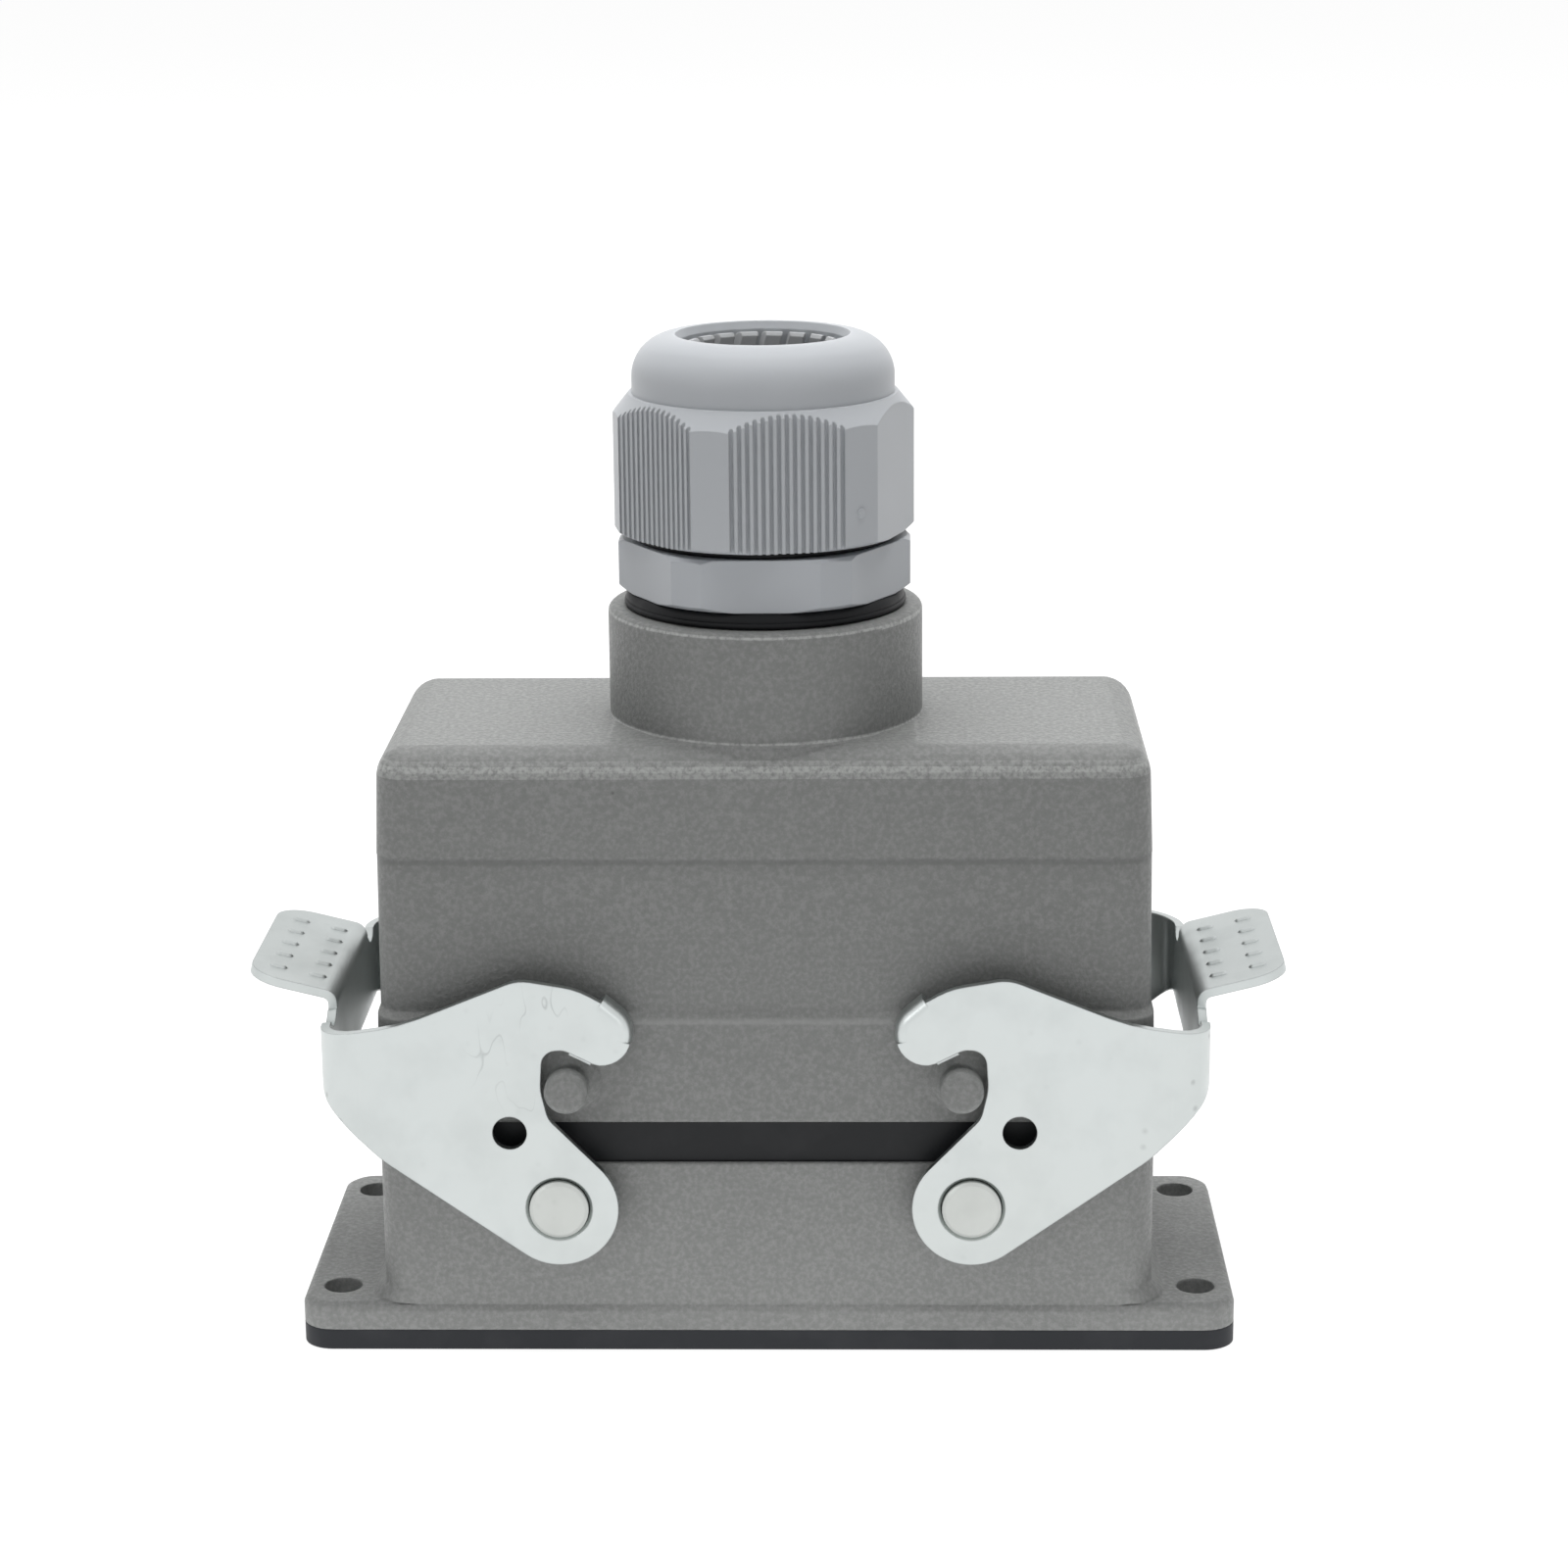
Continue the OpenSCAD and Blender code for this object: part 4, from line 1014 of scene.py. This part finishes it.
@dataclass
class GlandAssembly(Assembly):
    """Cable gland, with the ring in its gap, the washer's bead and the moulded mark on its nut.

    A ring's corner is a share of its height, and a span of levels is its foot and its top.
    The mark has its distance from the gland's axis, its turn about it and its level.
    """

    ring_r: float = 15.55 * MM
    ring_bore: float = 14.15 * MM
    ring_z: Span = (95.16 * MM, 95.84 * MM)
    bead_r: float = 16.78 * MM
    bead_w: float = 0.7 * MM
    bead_z: Span = (87.12 * MM, 87.82 * MM)
    corner: float = 0.28
    steps: int = 96
    mark_r: float = 0.62 * MM
    mark_taper: float = 0.82
    mark_height: float = 0.26 * MM
    mark_at: tuple[float, float, float] = (17.598 * MM, math.radians(-49.0), 100.11 * MM)
    nodes: dict[str, Look] = field(
        default_factory=lambda: {
            "gland_washer": Look.RING_RUBBER,
            "gland_body": Look.THREADED_NYLON,
            "clamping_claw": Look.LIGHT_NYLON,
            "cable_seal": Look.SEAL_RUBBER,
            "gland_nut": Look.GREY_NYLON,
        }
    )

    def build(self) -> None:
        """Adds the gland's own small pieces."""
        # A black ring fills the gap under the nut, so the gap shows dark.
        gap = self._ring("gland_gap_ring", self.ring_bore, self.ring_r, self.ring_z)
        self.shop.dress_piece(gap, Look.RING_RUBBER, Look.BLACK_RUBBER, Body.HOUSING)
        bead = self._ring("washer_bead", self.bead_r - self.bead_w, self.bead_r, self.bead_z)
        self.shop.dress_piece(bead, Look.RING_RUBBER, Look.BLACK_RUBBER, Body.HOUSING)
        self.shop.dress_piece(self._nut_mark(), Look.GREY_NYLON, Look.GREY_NYLON, Body.CAP_NUT)

    def _ring(self, name: str, bore: float, out: float, levels: Span) -> bpy.types.Object:
        """Spins a rubber ring with softened corners.

        The spin leaves its faces in a new order each time, so they are sorted by place.

        Args:
            name: the ring's name.
            bore: its inner radius.
            out: its outer radius.
            levels: the levels of its foot and its top.

        Returns:
            The ring.
        """
        low, high = levels
        mesh = bmesh.new()
        corners = ((bore, low), (out, low), (out, high), (bore, high))
        points = [mesh.verts.new((radius, 0.0, height)) for radius, height in corners]
        section = mesh.faces.new(points)
        bmesh.ops.bevel(
            mesh,
            geom=list(section.verts),
            offset=self.corner * (high - low),
            affect="VERTICES",
            segments=3,
            profile=0.5,
            material=-1,
        )
        outline = list(mesh.edges)
        bmesh.ops.delete(mesh, geom=list(mesh.faces), context="FACES_ONLY")
        bmesh.ops.spin(
            mesh,
            geom=list(mesh.verts) + outline,
            cent=(0.0, 0.0, 0.0),
            axis=(0.0, 0.0, 1.0),
            angle=FULL_TURN,
            steps=self.steps,
            use_merge=True,
        )
        bmesh.ops.recalc_face_normals(mesh, faces=mesh.faces[:])
        ordered = sorted(mesh.faces, key=lambda face: face.calc_center_median().to_tuple())
        ranks = {face: rank for rank, face in enumerate(ordered)}
        mesh.faces.sort(key=lambda face: ranks[face])
        return piece_from(mesh, name)

    def _nut_mark(self) -> bpy.types.Object:
        """Moulds the small round mark on one corner of the nut.

        Returns:
            The mark.
        """
        out, turn, height = self.mark_at
        mesh = bmesh.new()
        bmesh.ops.create_cone(
            mesh,
            cap_ends=True,
            segments=32,
            radius1=self.mark_r,
            radius2=self.mark_r * self.mark_taper,
            depth=2 * self.mark_height,
        )
        corner = Matrix.Rotation(turn, 4, "Z") @ Matrix.Translation((out, 0.0, height))
        stand = corner @ Matrix.Rotation(math.pi / 2, 4, "Y")
        bmesh.ops.transform(mesh, matrix=stand, verts=mesh.verts[:])
        return piece_from(mesh, "nut_mark", smooth=False)


@dataclass
class InsertAssembly(Assembly):
    """One contact insert with its contacts and screws."""

    side: str = "female"

    def __post_init__(self) -> None:
        """Names the insert's nodes."""
        self.nodes = {
            f"{self.side}_insert": Look.DARK_PLASTIC,
            f"{self.side}_contacts": Look.CONTACT_BRASS,
            f"{self.side}_terminal_screws": Look.SCREW_STEEL,
            f"{self.side}_earth_contacts": Look.EARTH_STEEL,
            f"{self.side}_earth_screws": Look.SCREW_STEEL,
            f"{self.side}_mounting_screws": Look.SCREW_STEEL,
        }


# ---------------------------------------------------------------- stage


@dataclass(frozen=True)
class Lamp:
    """A square soft lamp.

    It has its place, the point it faces, its side in metres and its power in watts, and
    says whether glossy surfaces mirror it.
    """

    name: str
    place: Point
    target: Point
    size: float
    power: float
    shows: bool = True

    def build(self) -> None:
        """Hangs the lamp."""
        data = bpy.data.lights.new(self.name, "AREA")
        data.shape = "SQUARE"
        data.size = self.size
        data.energy = self.power
        lamp = bpy.data.objects.new(self.name, data)
        lamp.location = self.place
        lamp.visible_glossy = self.shows
        aim = Vector(self.target) - Vector(self.place)
        lamp.rotation_euler = aim.to_track_quat("-Z", "Y").to_euler()
        bpy.context.scene.collection.objects.link(lamp)


LAMPS: tuple[Lamp, ...] = (
    Lamp("overhead", (0.0, 0.15, 1.25), (0.0, 0.0, 0.06), 1.1, 17.2, shows=False),
    Lamp("overhead_shine", (0.0, 0.15, 1.25), (0.0, 0.0, 0.06), 1.1, 8.0),
    Lamp("left_front", (-1.0, -0.95, 0.6), (0.0, 0.0, 0.05), 0.5, 1.3),
    Lamp("right_front", (0.7, -1.3, 0.4), (0.0, 0.0, 0.03), 0.5, 0.6),
)


@dataclass
class Studio:
    """Pale floor, white surround and soft lamps.

    To the eye the floor is a glow with a little shade in it. As a light it is a bounce, with
    a glowing card round the object's foot that fades out over the card's two spans.
    """

    floor_size: float = 8.0
    floor_drop: float = 0.2 * MM
    bounce: float = 0.71
    card_glow: float = 1.2
    card_x: Span = (0.055, 0.09)
    card_y: Span = (0.035, 0.085)
    shade: float = 0.2
    glow: float = 0.93
    surround: float = 0.24
    side_share: float = 0.3
    side_span: Span = (0.3, 0.95)

    def build(self) -> None:
        """Builds the floor, the world and the lamps."""
        self._floor()
        self._world()
        for lamp in LAMPS:
            lamp.build()

    @staticmethod
    def _seen(tree: ShaderTree) -> Socket:
        """Tells the rays that are seen from those that only light.

        Args:
            tree: the tree that asks.

        Returns:
            1 for rays from the camera and for those that metal and glass send on, else 0.
        """
        rays = tree.node("ShaderNodeLightPath").outputs
        either = tree.math("MAXIMUM", rays["Is Camera Ray"], rays["Is Glossy Ray"])
        return tree.math("MAXIMUM", either, rays["Is Transmission Ray"])

    def _floor(self) -> None:
        """Builds the floor, white to the eye but with the object's soft shadow on it."""
        mesh = bmesh.new()
        bmesh.ops.create_grid(mesh, x_segments=1, y_segments=1, size=self.floor_size / 2)
        bmesh.ops.translate(mesh, verts=mesh.verts[:], vec=(0.0, 0.0, -self.floor_drop))
        floor = piece_from(mesh, "floor", smooth=False)
        material = bpy.data.materials.new("pale_floor")
        material.use_nodes = True
        material.node_tree.nodes.clear()
        tree = ShaderTree(material.node_tree)
        place = tree.axes(tree.place())
        along = tree.span(tree.math("ABSOLUTE", place["X"]), *self.card_x, 1.0, 0.0)
        across = tree.span(tree.math("ABSOLUTE", place["Y"]), *self.card_y, 1.0, 0.0)
        card = tree.times(tree.times(along, across), self.card_glow)
        lit = self._glowing(tree, self.bounce, card)
        seen = self._glowing(tree, self.shade, self.glow)
        mixed = tree.node("ShaderNodeMixShader", {0: self._seen(tree), 1: lit, 2: seen})
        tree.node("ShaderNodeOutputMaterial", {"Surface": mixed.outputs[0]})
        floor.data.materials.append(material)

    @staticmethod
    def _glowing(tree: ShaderTree, shade: float, glow: Any) -> Socket:
        """Adds a matt grey surface that also glows.

        Args:
            tree: the material's tree.
            shade: how much light it throws back.
            glow: how strongly it glows.

        Returns:
            The surface's output.
        """
        matt = tree.node("ShaderNodeBsdfDiffuse", {"Color": (shade, shade, shade)})
        white = tree.node("ShaderNodeEmission", {"Color": WHITE, "Strength": glow})
        both = tree.node("ShaderNodeAddShader", {0: matt.outputs[0], 1: white.outputs[0]})
        return both.outputs[0]

    def _world(self) -> None:
        """Makes the surround white to the eye and in reflections, and softer as a light.

        As a light it is weaker from the two sides, which shapes the upright faces.
        """
        world = bpy.data.worlds.new("surround")
        world.use_nodes = True
        world.node_tree.nodes.clear()
        tree = ShaderTree(world.node_tree)
        toward = tree.axes(tree.node("ShaderNodeTexCoord").outputs["Generated"])
        aside = tree.math("ABSOLUTE", toward["X"])
        soft = tree.span(aside, *self.side_span, self.surround, self.surround * self.side_share)
        strength = tree.span(self._seen(tree), 0.0, 1.0, soft, 1.0)
        light = tree.node("ShaderNodeBackground", {"Color": WHITE, "Strength": strength})
        tree.node("ShaderNodeOutputWorld", {"Surface": light.outputs[0]})
        bpy.context.scene.world = world


@dataclass
class Camera:
    """The camera's place, lens and sensor in millimetres, its turns in degrees.

    Nothing nearer than the nearest distance, in metres, is drawn.
    """

    place: Point = (13.357, -435.866, 180.43)
    yaw: float = -1.488
    down: float = 14.912
    roll: float = 0.517
    lens: float = 85.584
    sensor: float = 36.0
    nearest: float = 0.01

    def build(self) -> None:
        """Builds the camera and makes it the scene's."""
        yaw, down, roll = (math.radians(a) for a in (self.yaw, self.down, self.roll))
        level = math.cos(down)
        ahead = Vector((math.sin(yaw) * level, math.cos(yaw) * level, -math.sin(down)))
        right = Vector((math.cos(yaw), -math.sin(yaw), 0.0))
        below = ahead.cross(right)
        x_axis = right * math.cos(roll) + below * math.sin(roll)
        y_axis = right * math.sin(roll) - below * math.cos(roll)
        data = bpy.data.cameras.new("camera")
        data.lens = self.lens
        data.sensor_width = self.sensor
        data.clip_start = self.nearest
        camera = bpy.data.objects.new("camera", data)
        turn = Matrix((x_axis, y_axis, -ahead)).transposed().to_4x4()
        camera.matrix_world = Matrix.Translation(Vector(self.place) * MM) @ turn
        bpy.context.scene.collection.objects.link(camera)
        bpy.context.scene.camera = camera


def main() -> None:
    """Loads the frame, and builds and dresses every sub-assembly."""
    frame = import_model()
    bpy.context.scene.view_settings.view_transform = "Standard"
    Camera().build()
    Studio().build()
    shop = FinishShop()
    assemblies: tuple[Assembly, ...] = (
        BaseAssembly(shop, frame),
        LeverAssembly(shop, frame),
        HoodAssembly(shop, frame),
        GlandAssembly(shop, frame),
        InsertAssembly(shop, frame, side="female"),
        InsertAssembly(shop, frame, side="male"),
    )
    for assembly in assemblies:
        assembly.build()
        assembly.dress()


if __name__ == "__main__":
    logging.basicConfig(level=logging.INFO)
    main()
